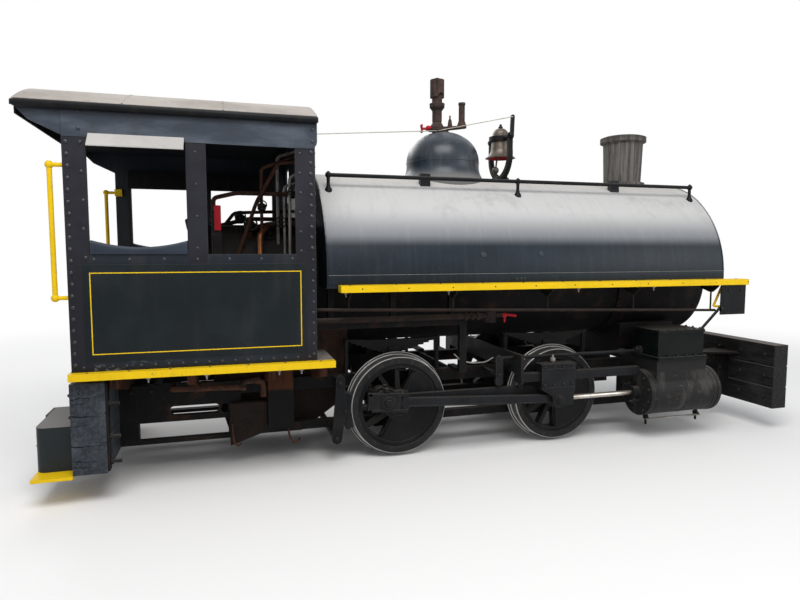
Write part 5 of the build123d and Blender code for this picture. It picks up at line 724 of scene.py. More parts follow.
def build_cab_rivets(name, side):
    # Row: X and Z of its ends, count, radius, how far out the heads start
    rows = (
        (-2.684, 0.90, -2.684, 2.25, 20, 0.013, 0.005),
        (-2.606, 1.56, -2.606, 2.25, 5, 0.012, 0.005),
        (-2.610, 2.33, -2.610, 2.43, 2, 0.012, 0.007),
        (-1.228, 1.62, -1.228, 2.25, 10, 0.014, 0.005),
        (-1.222, 0.90, -1.222, 1.54, 10, 0.011, 0.005),
        (-1.302, 1.60, -1.302, 2.24, 6, 0.010, 0.005),
        (-2.640, 0.882, -1.250, 0.882, 18, 0.011, 0.004),
        (-2.560, 1.548, -1.360, 1.548, 7, 0.011, 0.004),
        (-1.954, 1.62, -1.954, 2.22, 4, 0.009, 0.005),
        (-2.550, 2.44, -1.250, 2.44, 6, 0.009, 0.007),
        (-1.215, 2.32, -1.215, 2.40, 2, 0.012, 0.007),
    )
    with Piece(f"cab_rivets_{name}", RIVET, "cab_black", side) as heads:
        for x0, z0, x1, z1, count, radius, proud in rows:
            for x, z in zip(spread(x0, x1, count), spread(z0, z1, count)):
                wander = random.uniform(-0.003, 0.003)
                heads.rivet((x + wander, CAB_Y + proud - 0.001, z), OUT, radius)


def rest_sections():
    """Sections of the arm rest on the rear window's sill, whose round top is worn hollow."""
    rear, front, sill, _ = WINDOWS["rear"]
    inner, outer, lip = CAB_Y - 0.075, CAB_Y + 0.014, CAB_Y + 0.001
    end_height, middle_height, rounding = 0.072, 0.030, 0.016
    for share in spread(0, 1, 17):
        x = rear + 0.002 + (front - rear - 0.004) * share
        top = sill + middle_height + (end_height - middle_height) * (2 * share - 1) ** 2
        # From the inner foot round the top to the lip outside
        section = [(x, inner, sill - 0.004)]
        for angle in spread(math.pi, 0, 9):
            y = (inner + outer) / 2 + (outer - inner) / 2 * math.cos(angle)
            section.append((x, y, top - rounding + rounding * math.sin(angle)))
        section += [(x, outer, sill - 0.014), (x, lip, sill - 0.014), (x, lip, sill - 0.004)]
        yield section


def build_window_guides(name, side):
    """Sash guides inside the openings, and the rest on the rear window's sill."""
    with Piece(f"window_guides_{name}", POST, "cab_black", side) as guides:
        for rear, front, sill, head in WINDOWS.values():
            # Guide: rear X, front X, top Z
            for start, end, top in (
                (rear - 0.02, front + 0.02, sill - 0.012),
                (rear - 0.03, rear - 0.004, head + 0.03),
                (front + 0.004, front + 0.03, head + 0.03),
            ):
                guides.box((start, CAB_Y - 0.008, sill - 0.05), (end, CAB_Y - 0.034, top), 0.003)
    with Piece(f"window_rest_{name}", REST, "timber", side) as rest:
        rest.skin(rest_sections())


def build_window_header():
    """Dark board across the heads of the left windows, which shows through the right ones as painted
    shade where the far visors' undersides lie in shadow.
    """
    with Piece("shaded_window_header", SOOTY, "cab_black") as board:
        board.box((-2.600, CAB_Y - 0.036, 2.152), (-1.310, CAB_Y - 0.058, 2.310), 0.003)


def build_roof_trim():
    """Black rolled edge under the roof's sides, seams across it and rivets along its rear."""
    rear, front = -2.957, -1.184
    length = front - rear
    rolled = ((0.002, 0), (0.018, 0.006), (0.025, 0.02), (0.025, length - 0.006), (0.018, length))
    with Piece("roof_edge", BLACK, "black_iron") as trim:
        for _ in trim.sides():
            trim.lathe(rolled, (rear, 0.974, 2.458), AHEAD, 14)
    seams = []
    for x in (-2.37, -1.78):
        points = []
        for angle in spread(-0.452, 0.452, 19):
            drop = ROOF_ARC * (1 - math.cos(angle))
            points.append((x, ROOF_ARC * math.sin(angle), ROOF_TOP_Z - drop - 0.002))
        seams.append((0.006, points))
    add_pipe("roof_seams", ROOF, "roof", seams)
    with Piece("header_rivets", RIVET, "black_iron") as heads:
        for y in spread(-0.86, 0.86, 15):
            heads.rivet((-2.949, y, 2.43), BACK, 0.009)


def build_cab_front_trim():
    """Frames round the lookout windows and rivets down the front plate's edges."""
    wall, face = -1.201, -1.192
    y, z, half_width, half_height, border = 0.740, 2.190, 0.125, 0.150, 0.026
    with Piece("lookout_frames", POST, "cab_black") as frames:
        for _ in frames.sides():
            for way in (-1, 1):
                edge_y = y + way * (half_width + border / 2)
                edge_z = z + way * (half_height + border / 2)
                frames.box(
                    (wall, edge_y - border / 2, z - half_height - border),
                    (face, edge_y + border / 2, z + half_height + border),
                    0.002,
                )
                frames.box(
                    (wall, y - half_width, edge_z - border / 2),
                    (face, y + half_width, edge_z + border / 2),
                    0.002,
                )
    with Piece("cab_front_rivets", RIVET, "cab_black") as heads:
        for _ in heads.sides():
            for z in spread(0.92, 2.34, 17):
                heads.rivet((-1.2005, 0.918, z), AHEAD, 0.011)


def build_cab_pipes():
    """Pipework over the boiler that shows through the front window."""
    wall = -1.21
    rusted = [
        (0.028, [(-1.93, -0.10, 1.72), (-1.62, -0.16, 1.72), (-1.42, -0.20, 1.72), (wall, -0.20, 1.72)]),
        (0.022, [(-1.60, -0.30, 1.45), (-1.60, -0.30, 1.76), (-1.46, -0.32, 1.80), (wall, -0.32, 1.80)]),
        (0.016, [(-1.86, -0.42, 1.50), (-1.86, -0.42, 1.98), (-1.70, -0.42, 2.02), (wall, -0.42, 2.02)]),
        (0.014, [(-1.70, -0.40, 1.55), (-1.56, -0.46, 1.95), (-1.40, -0.46, 2.24), (wall, -0.46, 2.26)]),
        (0.012, [(-1.52, -0.40, 1.55), (-1.52, -0.44, 2.20), (wall, -0.44, 2.32)]),
        (0.018, [(-1.90, 0.10, 1.78), (-1.60, 0.12, 1.86), (wall, 0.12, 1.86)]),
        (0.015, [(-1.90, 0.30, 1.66), (-1.70, 0.32, 1.92), (wall, 0.32, 1.94)]),
    ]
    add_pipe("cab_pipes", RUST, "rust", rusted)
    pale = [
        (0.013, [(-1.395, -0.34, 1.62), (-1.395, -0.36, 2.30), (wall, -0.36, 2.36)]),
        (0.011, [(-1.352, -0.40, 1.56), (-1.352, -0.40, 2.08), (wall, -0.40, 2.12)]),
        (0.012, [(-1.318, -0.44, 1.50), (-1.318, -0.46, 2.14), (wall, -0.46, 2.20)]),
    ]
    add_pipe("cab_pale_pipes", PALE_PIPE, "black_iron", pale)
    copper = [(0.022, [(-1.536, -0.47, 1.43), (-1.536, -0.45, 1.72), (-1.46, -0.32, 1.79)])]
    add_pipe("cab_copper_pipe", COPPER, "rust", copper)


def build_cab_valves():
    # Valve: X, Y, Z, half length of its body
    places = (
        (-1.60, -0.30, 1.78, 0.045), (-1.46, -0.20, 1.72, 0.05), (-1.70, -0.16, 1.72, 0.042),
        (-1.86, -0.42, 1.84, 0.036), (-1.38, -0.32, 1.80, 0.038), (-1.52, -0.44, 1.92, 0.03),
        (-1.66, 0.12, 1.86, 0.04), (-1.30, -0.42, 2.02, 0.032),
    )
    with Piece("cab_valves", IRON, "cast") as valves:
        for x, y, z, size in places:
            body = ((size * 0.6, -size), (size, -size * 0.5), (size, size * 0.5), (size * 0.6, size))
            valves.lathe(body, (x, y, z), AHEAD, 12)
            wheel = Vector((x, y - size * 2.4, z + size * 0.4))
            valves.rod((x, y, z), wheel, size * 0.28, segments=8)
            rim = ((size * 0.9, -0.005), (size * 1.15, -0.003), (size * 1.15, 0.003), (size * 0.9, 0.005))
            valves.lathe(rim, wheel, (0, -1, 0.17), 16, ring_shaped=True)
            for turn in (0, math.pi / 2):
                arm = Vector((math.cos(turn), 0, math.sin(turn))) * size
                valves.rod(wheel - arm, wheel + arm, 0.005, segments=6)


def build_cab_controls():
    """Gauge rim, throttle, and the grip, latch and notches of the reversing lever."""
    radius = 0.088
    rim = (
        (radius * 0.9, 0), (radius, 0.004), (radius, 0.016), (radius * 0.9, 0.018),
        (radius * 0.88, 0.01),
    )
    with Piece("gauge_rim", BRONZE, "bronze") as gauge:
        gauge.lathe(rim, (-2.010, 0, 1.95), BACK, 28, ring_shaped=True)
    with Piece("throttle_lever", ROD, "cast") as throttle:
        throttle.rod((-1.94, 0, 1.62), (-2.02, 0, 1.62), 0.02, segments=12)
        throttle.rod((-2.02, 0.05, 1.60), (-2.03, -0.42, 1.76), 0.013, 0.009, segments=10)
        throttle.rod((-2.03, -0.42, 1.76), (-2.033, -0.56, 1.808), 0.017, segments=12)
    with Piece("lever_grip", RED, "rust") as grip:
        grip.box((-1.855, -0.642, 1.74), (-1.809, -0.602, 1.914), 0.009)
    with Piece("lever_latch", IRON, "cast") as latch:
        latch.rod((-1.868, -0.622, 1.43), (-1.868, -0.622, 1.89), 0.006, segments=8)
        for guide_z in (1.50, 1.70, 1.86):
            latch.box((-1.877, -0.631, guide_z), (-1.852, -0.613, guide_z + 0.018), 0.001)
        # Foot of the latch, which drops between the teeth of the quadrant
        latch.box((-1.879, -0.632, 1.421), (-1.858, -0.588, 1.456), 0.002)
        pivot_x, pivot_z, tooth_radius, half = -1.832, 0.855, 0.573, 0.006
        for step in range(13):
            angle = math.radians(64 + step * 4.3)
            x = pivot_x + tooth_radius * math.cos(angle)
            z = pivot_z + tooth_radius * math.sin(angle)
            latch.box((x - half, -0.608, z - half), (x + half, -0.586, z + half), 0.001)


# Saddle tank, dome, bell and whistle

def tank_section(low_z):
    """Points (y, z) round the tank from one side's foot over the crown to the other's."""
    arc = [(TANK_Y * math.cos(a), TANK_CENTRE_Z + TANK_Y * math.sin(a)) for a in spread(0, math.pi, 49)]
    return [(TANK_Y, low_z)] + arc + [(-TANK_Y, low_z)]


def build_tank_trim():
    beads = []
    for x in (TANK_REAR_X + 0.005, TANK_FRONT_X - 0.005):
        beads.append((0.006, [(x, y, z) for y, z in tank_section(1.362)]))
    add_pipe("tank_beads", TANK, "tank_black", beads, bend=0.001)
    rail_y = 0.5
    foot_z = TANK_CENTRE_Z + math.sqrt(TANK_Y**2 - rail_y**2)
    disc = ((1, -0.004), (1, 0.004), (0.8, 0.006), (0, 0.006))
    cone = ((0.030, -0.022), (0.028, 0.004), (0.017, 0.020), (0.0145, 0.034))
    for name, side in SIDES.items():
        # Lapped plate along the foot, with a painted highlight as a pale strip along its upper edge
        with Piece(f"tank_lap_{name}", TANK, "tank_black", side) as lap:
            lap.box((-1.100, 0.833, 1.3615), (2.322, 0.8405, 1.428), 0.001)
        edge_name = f"tank_lap_edge_{name}"
        with Piece(edge_name, LAP_HIGHLIGHT, "tank_black", side, smooth_angle=None) as lit_edge:
            lit_edge.box((-1.099, 0.834, 1.4275), (2.321, 0.8395, 1.4295))
        with Piece(f"tank_discs_{name}", PLUG, "tank_black", side) as discs:
            for x, z, radius in ((0.088, 1.569, 0.022), (0.577, 1.576, 0.020)):
                rise = z - TANK_CENTRE_Z
                out = math.sqrt(TANK_Y**2 - rise**2)
                profile = [(radius * share, along) for share, along in disc]
                discs.lathe(profile, (x, out, z), (0, out, rise), 18)
            for x in (0.36, 0.395, 0.425):
                discs.rivet((x, 0.840, 1.385), OUT, 0.012, 0.007)
        with Piece(f"handrail_feet_{name}", BLACK, "tank_black", side) as feet:
            for x in (-1.035, 0.530, 2.240):
                feet.lathe(cone, (x, rail_y, foot_z), UP, 16)
                feet.rivet((x, rail_y, 2.186), UP, 0.010, 0.008)


def build_dome_trim():
    """Seam round the dome's foot, and the red valve with a cross handle behind the whistle."""
    seam_radius = 0.3155
    ring = []
    for a in spread(0, 2 * math.pi, 65):
        ring.append((DOME_X + seam_radius * math.cos(a), seam_radius * math.sin(a), 2.352))
    add_pipe("dome_seam", DOME, "tank_black", [(0.0028, ring)], bend=0.001)
    hub = Vector((-0.135, 0, 2.646))
    with Piece("dome_valve", RED, "rust") as valve:
        valve.rod((-0.030, 0, 2.652), hub, 0.011, segments=10)
        body = ((0.012, 0), (0.024, 0.008), (0.024, 0.04), (0.014, 0.05))
        valve.lathe(body, (-0.045, 0, 2.652), BACK, 12)
        for turn in (0.5, 0.5 + math.pi / 2):
            arm = Vector((-0.45 * math.cos(turn), -0.9 * math.cos(turn), math.sin(turn))) * 0.043
            valve.rod(hub - arm, hub + arm, 0.007, 0.009, segments=8)
    foot_x, circle = 0.005, 0.054
    with Piece("whistle_bolts", RUST, "rust") as bolts:
        for a in spread(0.3, 0.3 + 2 * math.pi, 7)[:6]:
            bolts.bolt((foot_x + circle * math.cos(a), circle * math.sin(a), 2.658), UP, 0.009, 0.009)


def build_bell_trim():
    """Bolts of the stand's foot and the bell, and the cord from the cab to the bell's lever."""
    with Piece("bell_stand_bolts", IRON, "black_iron") as bolts:
        for x in (BELL_X - 0.045, BELL_X + 0.045):
            for y in (0.045, -0.045):
                bolts.bolt((x, y, 2.243), UP, 0.012, 0.012)
    crown = ((0.020, -0.004), (0.020, 0.012), (0.012, 0.018), (0.012, 0.030), (0.006, 0.036), (0, 0.036))
    with Piece("bell_bolts", IRON, "cast", body="bell") as swinging:
        for _ in swinging.sides():
            swinging.bolt((BELL_X, 0.225, BELL_PIVOT_Z), OUT, 0.017, 0.012)
        swinging.lathe(crown, (BELL_X, 0, 2.690), UP, 12)
    eye = (-0.020, -0.080, 2.620)
    wire = 0.0035
    ring = [(0.012 + wire * math.cos(a), wire * math.sin(a)) for a in spread(0, 2 * math.pi, 9)[:-1]]
    with Piece("bell_cord_eye", IRON, "rust") as guide:
        guide.lathe(ring, eye, AHEAD, 16, ring_shaped=True)
        guide.rod((-0.02, -0.050, 2.612), (-0.02, -0.066, 2.616), 0.006, segments=8)
    cord = [(0.0038, [(-1.204, -0.040, 2.533), eye, (0.618, -0.224, 2.748)])]
    add_pipe("bell_cord", CORD, "timber", cord, bend=0.01)


# Running gear

def crank_pin(name, axle_x=REAR_AXLE_X):
    """X and Z of a side's crank pin at rest."""
    angle = math.radians(CRANK_ANGLE[name])
    return axle_x + CRANK_RADIUS * math.cos(angle), AXLE_Z + CRANK_RADIUS * math.sin(angle)


def wrist_x(name):
    pin_x, pin_z = crank_pin(name)
    return pin_x + math.sqrt(ROD_LENGTH**2 - (pin_z - AXLE_Z) ** 2)


def rod_frame(name):
    """The main rod's frame at rest: from the wrist pin, X along the rod and Z up from it."""
    pin_x, pin_z = crank_pin(name)
    wrist = wrist_x(name)
    angle = math.atan2(pin_z - AXLE_Z, wrist - pin_x)
    return Matrix.Translation((wrist, 0, AXLE_Z)) @ Matrix.Rotation(angle, 4, "Y")


def build_main_rod(name, side):
    """Strap over the big end, cover over its brasses, flutes, bolts and oil cup of the rod."""
    body = f"main_rod_{name}"
    turn = rod_frame(name)
    upward = turn.to_3x3() @ Vector(UP)
    end, face = -ROD_LENGTH, ROD_FACE_Y
    with Piece(f"rod_strap_{name}", ROD, "cast", side, body=body) as strap:
        # Plate: rear X, front X, low Z, high Z, how far it stands out, bevel
        for rear, front, low, high, proud, bevel in (
            (end - 0.151, end + 0.157, 0.050, 0.0695, 0.006, 0.0015),
            (end - 0.151, end + 0.157, -0.0695, -0.050, 0.006, 0.0015),
            (end - 0.1515, end - 0.122, -0.0695, 0.0695, 0.006, 0.0015),
            (end + 0.080, end + 0.090, -0.050, 0.050, 0.004, 0.0015),
            (end - 0.084, end - 0.076, -0.050, 0.050, 0.004, 0.0015),
            (end + 0.165, -0.205, 0.024, 0.0335, 0.0015, 0.0),
            (end + 0.165, -0.205, -0.0335, -0.024, 0.0015, 0.0),
            (end + 0.100, end + 0.116, -0.0745, 0.0745, -0.040, 0.001),
        ):
            strap.box((rear, face, low), (front, face + proud, high), bevel, turn)
    cup = ((0.016, -0.004), (0.016, 0.010), (0.021, 0.014), (0.021, 0.036), (0.012, 0.042), (0, 0.044))
    cap = ((0.060, -0.002), (0.060, 0.004), (0.054, 0.007), (0.040, 0.007))
    nut = ((0.032, 0), (0.032, 0.012), (0.026, 0.016), (0, 0.016))
    with Piece(f"rod_fittings_{name}", IRON, "cast", side, body=body) as fittings:
        for x in (end + 0.142, end + 0.108, end + 0.060):
            for way in (1, -1):
                place = turn @ Vector((x, CYLINDER_Y, way * 0.0685))
                fittings.bolt(place, upward * way, 0.012, 0.014)
        for z in (-0.03, 0.03):
            fittings.rivet(turn @ Vector((end - 0.137, face + 0.005, z)), OUT, 0.008)
        fittings.lathe(cup, turn @ Vector((end - 0.012, CYLINDER_Y, 0.0685)), upward, 14)
        pin_x, pin_z = crank_pin(name)
        fittings.lathe(cap, (pin_x, face, pin_z), OUT, 24)
        fittings.lathe(nut, (pin_x, face + 0.017, pin_z), OUT, 6)


def build_side_rod(name, side):
    cup = ((0.013, -0.003), (0.013, 0.006), (0.016, 0.009), (0.016, 0.018), (0.008, 0.022), (0, 0.022))
    with Piece(f"side_rod_cups_{name}", IRON, "cast", side, body=f"side_rod_{name}") as cups:
        for axle_x in AXLES_X.values():
            pin_x, pin_z = crank_pin(name, axle_x)
            cups.lathe(cup, (pin_x, SIDE_ROD_Y, pin_z + 0.096), UP, 12)


def build_crosshead(name, side):
    body = f"crosshead_{name}"
    wrist = wrist_x(name)
    face = CROSSHEAD_FACE_Y
    with Piece(f"crosshead_plates_{name}", ROD, "cast", side, body=body) as plates:
        plates.box((wrist - 0.172, 0.720, 0.688), (wrist + 0.142, 0.830, 0.702), 0.003)
        plates.box((wrist - 0.166, face, 0.652), (wrist + 0.136, face + 0.005, 0.664), 0.002)
        plates.box((wrist - 0.160, face, 0.503), (wrist + 0.130, face + 0.005, 0.513), 0.002)
    washer = ((0.047, -0.002), (0.047, 0.004), (0.043, 0.006), (0.030, 0.006))
    nut = ((0.026, 0), (0.026, 0.012), (0.021, 0.015), (0, 0.015))
    with Piece(f"crosshead_bolts_{name}", IRON, "cast", side, body=body) as bolts:
        for x in spread(wrist - 0.140, wrist + 0.110, 4):
            bolts.bolt((x, face - 0.001, 0.676), OUT, 0.010)
            bolts.bolt((x, face - 0.001, 0.532), OUT, 0.011)
            bolts.bolt((x, 0.805, 0.701), UP, 0.009)
        bolts.lathe(washer, (wrist, face, AXLE_Z), OUT, 24)
        bolts.lathe(nut, (wrist, face + 0.013, AXLE_Z), OUT, 6)
    cup = (
        (0.011, -0.002), (0.011, 0.012), (0.020, 0.016), (0.022, 0.030), (0.020, 0.042), (0.009, 0.048),
        (0.007, 0.066), (0, 0.068),
    )
    with Piece(f"crosshead_cup_{name}", PALE_PIPE, "bright_steel", side, body=body) as lubricator:
        lubricator.lathe(cup, (wrist - 0.045, 0.775, 0.701), UP, 16)
    # Bright part of the piston rod, which slides through the gland
    with Piece(f"piston_rod_{name}", BRIGHT, "bright_steel", side, body=body) as bright:
        bright.lathe(((0.0204, 0), (0.0204, 0.84)), (wrist + 0.150, CYLINDER_Y, AXLE_Z), AHEAD, 20)


def build_cylinder_trim(name, side):
    dish = ((0.140, -0.002), (0.136, 0.012), (0.120, 0.018), (0.052, 0.024), (0, 0.025))
    flange = ((0.022, 0), (0.058, 0), (0.058, 0.012), (0.040, 0.016), (0.022, 0.016))
    with Piece(f"cylinder_bolts_{name}", IRON, "cast", side) as iron:
        for x, axis in ((CYLINDER_REAR_X, BACK), (CYLINDER_FRONT_X, AHEAD)):
            iron.bolt_circle(10, (x, CYLINDER_Y, AXLE_Z), axis, 0.168, 0.014, 0.013)
        iron.lathe(dish, (CYLINDER_FRONT_X, CYLINDER_Y, AXLE_Z), AHEAD, 36)
        # Gland with its two studs, which lean the same way on both sides of the engine
        iron.lathe(flange, (1.492, CYLINDER_Y, AXLE_Z), BACK, 24, ring_shaped=True)
        for way in (-side, side):
            stud = Vector((1.482, CYLINDER_Y + way * 0.040, AXLE_Z + side * way * 0.066))
            iron.lathe(((0.022, -0.010), (0.022, 0.006)), stud, BACK, 14)
            iron.rod(stud - Vector((0.045, 0, 0)), stud + Vector((0.060, 0, 0)), 0.008, segments=8)
            iron.bolt(stud - Vector((0.006, 0, 0)), BACK, 0.014, 0.012)
    with Piece(f"cylinder_bands_{name}", CYLINDER, "cast", side) as bands:
        for x, width in ((1.600, 0.022), (1.900, 0.012), (2.168, 0.030)):
            hoop = ((0.187, 0), (0.1925, 0.001), (0.1925, width), (0.187, width + 0.001))
            bands.lathe(hoop, (x, CYLINDER_Y, AXLE_Z), AHEAD, 48, ring_shaped=True)


def build_chest_trim(name, side):
    """Flanges and bolts of the steam chest, valve rod gland, and drain cocks with their rod."""
    foot, lid = CHEST_FOOT_Z, CHEST_LID_Z
    with Piece(f"chest_flanges_{name}", CHEST, "cast", side) as chest:
        chest.box((1.600, 0.592, foot - 0.002), (2.088, 0.946, foot + 0.024), 0.004)
        chest.box((1.608, 0.595, lid - 0.020), (2.074, 0.928, lid + 0.006), 0.005)
    with Piece(f"chest_bolts_{name}", IRON, "cast", side) as studs:
        for x in spread(1.625, 2.063, 6):
            studs.bolt((x, 0.934, foot + 0.023), UP, 0.009)
            studs.bolt((x, 0.912, lid + 0.005), UP, 0.010)
        for y in spread(0.640, 0.880, 4):
            studs.bolt((2.079, y, foot + 0.023), UP, 0.009)
            studs.bolt((2.062, y, lid + 0.005), UP, 0.010)
    cone = ((0.044, 0.0), (0.044, 0.016), (0.030, 0.020), (0.030, 0.050), (0.020, 0.056), (0.0145, 0.056))
    clevis = ((0.0145, 0), (0.026, 0.006), (0.026, 0.060), (0.0145, 0.074))
    cock = ((0.016, -0.01), (0.016, 0.02), (0.022, 0.026), (0.022, 0.052), (0.010, 0.058), (0.010, 0.100))
    with Piece(f"glands_{name}", IRON, "cast", side) as glands:
        glands.lathe(cone, (1.616, VALVE_ROD_Y, VALVE_ROD_Z), BACK, 20)
        glands.lathe(clevis, (1.470, VALVE_ROD_Y, VALVE_ROD_Z), BACK, 6)
        for x in (1.640, 2.158):
            glands.lathe(cock, (x, CYLINDER_Y, 0.220), DOWN, 12)
            glands.rod((x, 0.735, 0.182), (x, 0.800, 0.182), 0.008, segments=8)
    drain_rod = [(0.008, [(1.620, 0.798, 0.172), (2.170, 0.798, 0.172)])]
    add_pipe(f"drain_rod_{name}", PALE_PIPE, "cast", drain_rod, side)


def build_wheel_trim():
    """Axle ends and the nuts over the front crank pins."""
    ring = ((0.062, -0.001), (0.060, 0.003), (0.020, 0.003), (0.012, -0.004), (0, -0.006))
    nut = ((0.034, 0), (0.034, 0.0045), (0.028, 0.006), (0, 0.006))
    for position, axle_x in AXLES_X.items():
        body = f"{position}_wheelset"
        with Piece(f"{position}_axle_ends", IRON, "cast", body=body) as ends:
            for name, side in SIDES.items():
                ends.side = side
                ends.lathe(ring, (axle_x, 0.640, AXLE_Z), OUT, 28)
                if position == "front":
                    pin_x, pin_z = crank_pin(name, axle_x)
                    ends.lathe(nut, (pin_x, 0.7175, pin_z), OUT, 6)


def build_frame_trim():
    """Spring buckles and hangers, pedestal bolts, brake pins and valve gear pins."""
    # Bolt: X, distance out, Z, radius, height
    places = []
    for axle_x in AXLES_X.values():
        for x in (axle_x - 0.130, axle_x + 0.130):
            places += [(x, FRAME_FACE_Y, z, 0.018, 0.014) for z in (0.262, 0.600)]
    for x, z, radius in ((-0.983, 0.610, 0.024), (-1.013, 0.190, 0.020), (-0.946, 0.400, 0.013)):
        places.append((x, 0.6475, z, radius, 0.014))
    for x in (0.275, 0.462):
        places += [(x, 0.7335, z, 0.013, 0.008) for z in (0.745, 0.622)]
    places += [(x, FRAME_FACE_Y, 0.600, 0.014, 0.010) for x in spread(-2.450, -1.780, 6)]
    # The front bars, and the plates behind the front beam
    places += [(x, FRAME_FACE_Y, 0.595, 0.014, 0.010) for x in (2.56, 2.63)]
    places += [(2.70, 0.4635, z, 0.014, 0.010) for z in (0.30, 0.50)]
    with Piece("frame_bolts", IRON, "cast") as bolts:
        for _ in bolts.sides():
            for x, y, z, radius, height in places:
                bolts.bolt((x, y, z), OUT, radius, height)
    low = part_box("springs")[0][2] + 0.075
    with Piece("spring_buckles", IRON, "cast") as buckles:
        for _ in buckles.sides():
            for axle_x in AXLES_X.values():
                buckles.box((axle_x - 0.040, 0.370, low), (axle_x + 0.040, 0.464, low + 0.125), 0.006)


def build_underframe_pipes(name, side):
    """Rusty pipe under the cab, hooks by the ash pan, the lubricator pipe and the valve's handle."""
    y = 0.62
    rusty_run = [
        (0.021, [(-2.160, y, 0.642), (-1.690, y, 0.628), (-1.672, y, 0.668), (-1.545, y, 0.672),
                 (-1.545, y, 0.550)]),
        (0.016, [(-2.160, y, 0.642), (-2.160, 0.47, 0.642)]),
    ]
    add_pipe(f"cab_feed_pipe_{name}", RUST, "rust", rusty_run, side, bend=0.04)
    with Piece(f"cab_feed_joints_{name}", RUST, "rust", side) as joints:
        for x, z in ((-2.02, 0.638), (-1.70, 0.630), (-1.60, 0.672)):
            joints.lathe(((0.030, 0), (0.030, 0.034)), (x, y, z), AHEAD, 6)
    hooks = [
        (0.008, [(-1.764, 0.510, 0.330), (-1.762, 0.518, 0.250), (-1.752, 0.525, 0.190),
                 (-1.725, 0.525, 0.168), (-1.705, 0.525, 0.190)]),
        (0.008, [(-1.362, 0.512, 0.280), (-1.350, 0.530, 0.200), (-1.320, 0.530, 0.165),
                 (-1.290, 0.530, 0.165), (-1.275, 0.530, 0.195)]),
    ]
    add_pipe(f"pan_hooks_{name}", RUST, "rust", hooks, side, bend=0.02)
    oil_line = [
        (0.0055, [(-0.074, 0.640, 0.790), (-0.020, 0.640, 0.735), (0.080, 0.640, 0.708),
                  (0.200, 0.640, 0.712), (0.262, 0.640, 0.745)]),
    ]
    add_pipe(f"oil_line_{name}", PALE_PIPE, "cast", oil_line, side, bend=0.05)
    with Piece(f"valve_handle_{name}", RED, "rust", side) as handle:
        handle.rod((0.296, 0.72, 1.094), (0.330, 0.72, 1.094), 0.018, segments=6)
        handle.rod((0.318, 0.72, 1.100), (0.410, 0.735, 1.088), 0.009, 0.012, segments=10)
        handle.rod((0.318, 0.72, 1.100), (0.310, 0.735, 1.040), 0.008, segments=10)


# Boards, beams and couplers

def build_board_trim(name, side):
    # Bolt under a board: X, Y, Z of the board's underside
    places = [(x, 0.985, 0.809) for x in (-2.271, -1.921, -1.460, -1.312)]
    places += [(x, 0.905, 1.312) for x in (-0.989, -0.225, 0.860, 1.560)]
    with Piece(f"board_bolts_{name}", PALE_PIPE, "bright_steel", side) as bolts:
        for x, y, z in places:
            bolts.rod((x, y, z), (x, y, z - 0.034), 0.005, segments=8)
            bolts.box((x - 0.016, y - 0.012, z - 0.006), (x + 0.016, y + 0.012, z + 0.001), 0.001)
            bolts.bolt((x, y, z - 0.006), DOWN, 0.010, 0.009)
    with Piece(f"board_heads_{name}", IRON, "cast", side) as heads:
        for x in spread(-2.62, -1.18, 7):
            heads.rivet((x, 0.985, 0.8545), UP, 0.010, 0.004)
        for x in spread(-0.96, 2.40, 11):
            heads.rivet((x, 0.900, 1.3595), UP, 0.010, 0.004)
            heads.rivet((x + 0.08, 0.9495, 1.336), OUT, 0.006, 0.002)
    # Strut from the hanging plate down to the chest, and the yellow strap beside it
    with Piece(f"plate_strut_{name}", BLACK, "black_iron", side) as strut:
        strut.rod((2.232, 0.912, 1.118), (2.056, 0.900, 0.940), 0.012, segments=10)
        strut.rod((2.222, 0.925, 1.108), (2.250, 0.925, 1.108), 0.016, segments=10)
        for x in (2.300, 2.430):
            strut.bolt((x, 0.931, 1.265), OUT, 0.010)
    bends = ((2.300, 0.860, 1.312), (2.212, 0.860, 1.128), (2.250, 0.905, 1.128), (2.262, 0.924, 1.128))
    with Piece(f"plate_strap_{name}", YELLOW, "yellow", side) as strap:
        for start, end in zip(bends, bends[1:]):
            strap.rod(start, end, 0.010, segments=8)


def build_beam_trim():
    """Bolts through the timbers, the straps on their ends and the couplers' nuts."""
    washer = ((0.034, 0), (0.034, 0.004), (0.030, 0.006))
    with Piece("beam_bolts", IRON, "cast") as bolts:
        for _ in bolts.sides():
            for z in (0.269, 0.430, 0.640):
                bolts.rod((-2.531, 0.915, z), (-2.452, 0.915, z), 0.012, segments=10)
                bolts.bolt((-2.516, 0.915, z), AHEAD, 0.021, 0.018)
            for y in (0.35, 0.60, 0.86):
                for z in (0.30, 0.49, 0.68):
                    bolts.lathe(washer, (2.9595, y, z), AHEAD, 20)
                    bolts.bolt((2.965, y, z), AHEAD, 0.017, 0.015)
                    bolts.bolt((2.8105, y, z), BACK, 0.017, 0.015)
            for y in (0.20, 0.88):
                for z in (0.56, 0.70):
                    bolts.bolt((-2.7295, y, z), BACK, 0.018, 0.016)
            for y in (0.40, 0.70):
                bolts.bolt((-2.9645, y, 0.345), BACK, 0.018, 0.015)
            for root_x, axis in ((-2.755, BACK), (2.985, AHEAD)):
                for z in (0.235, 0.385):
                    bolts.bolt((root_x, 0.130, z), axis, 0.014, 0.012)
    with Piece("beam_straps", SOOTY, "black_iron") as straps:
        for _ in straps.sides():
            straps.box((-2.531, 0.872, 0.215), (-2.517, 0.947, 0.775), 0.002)


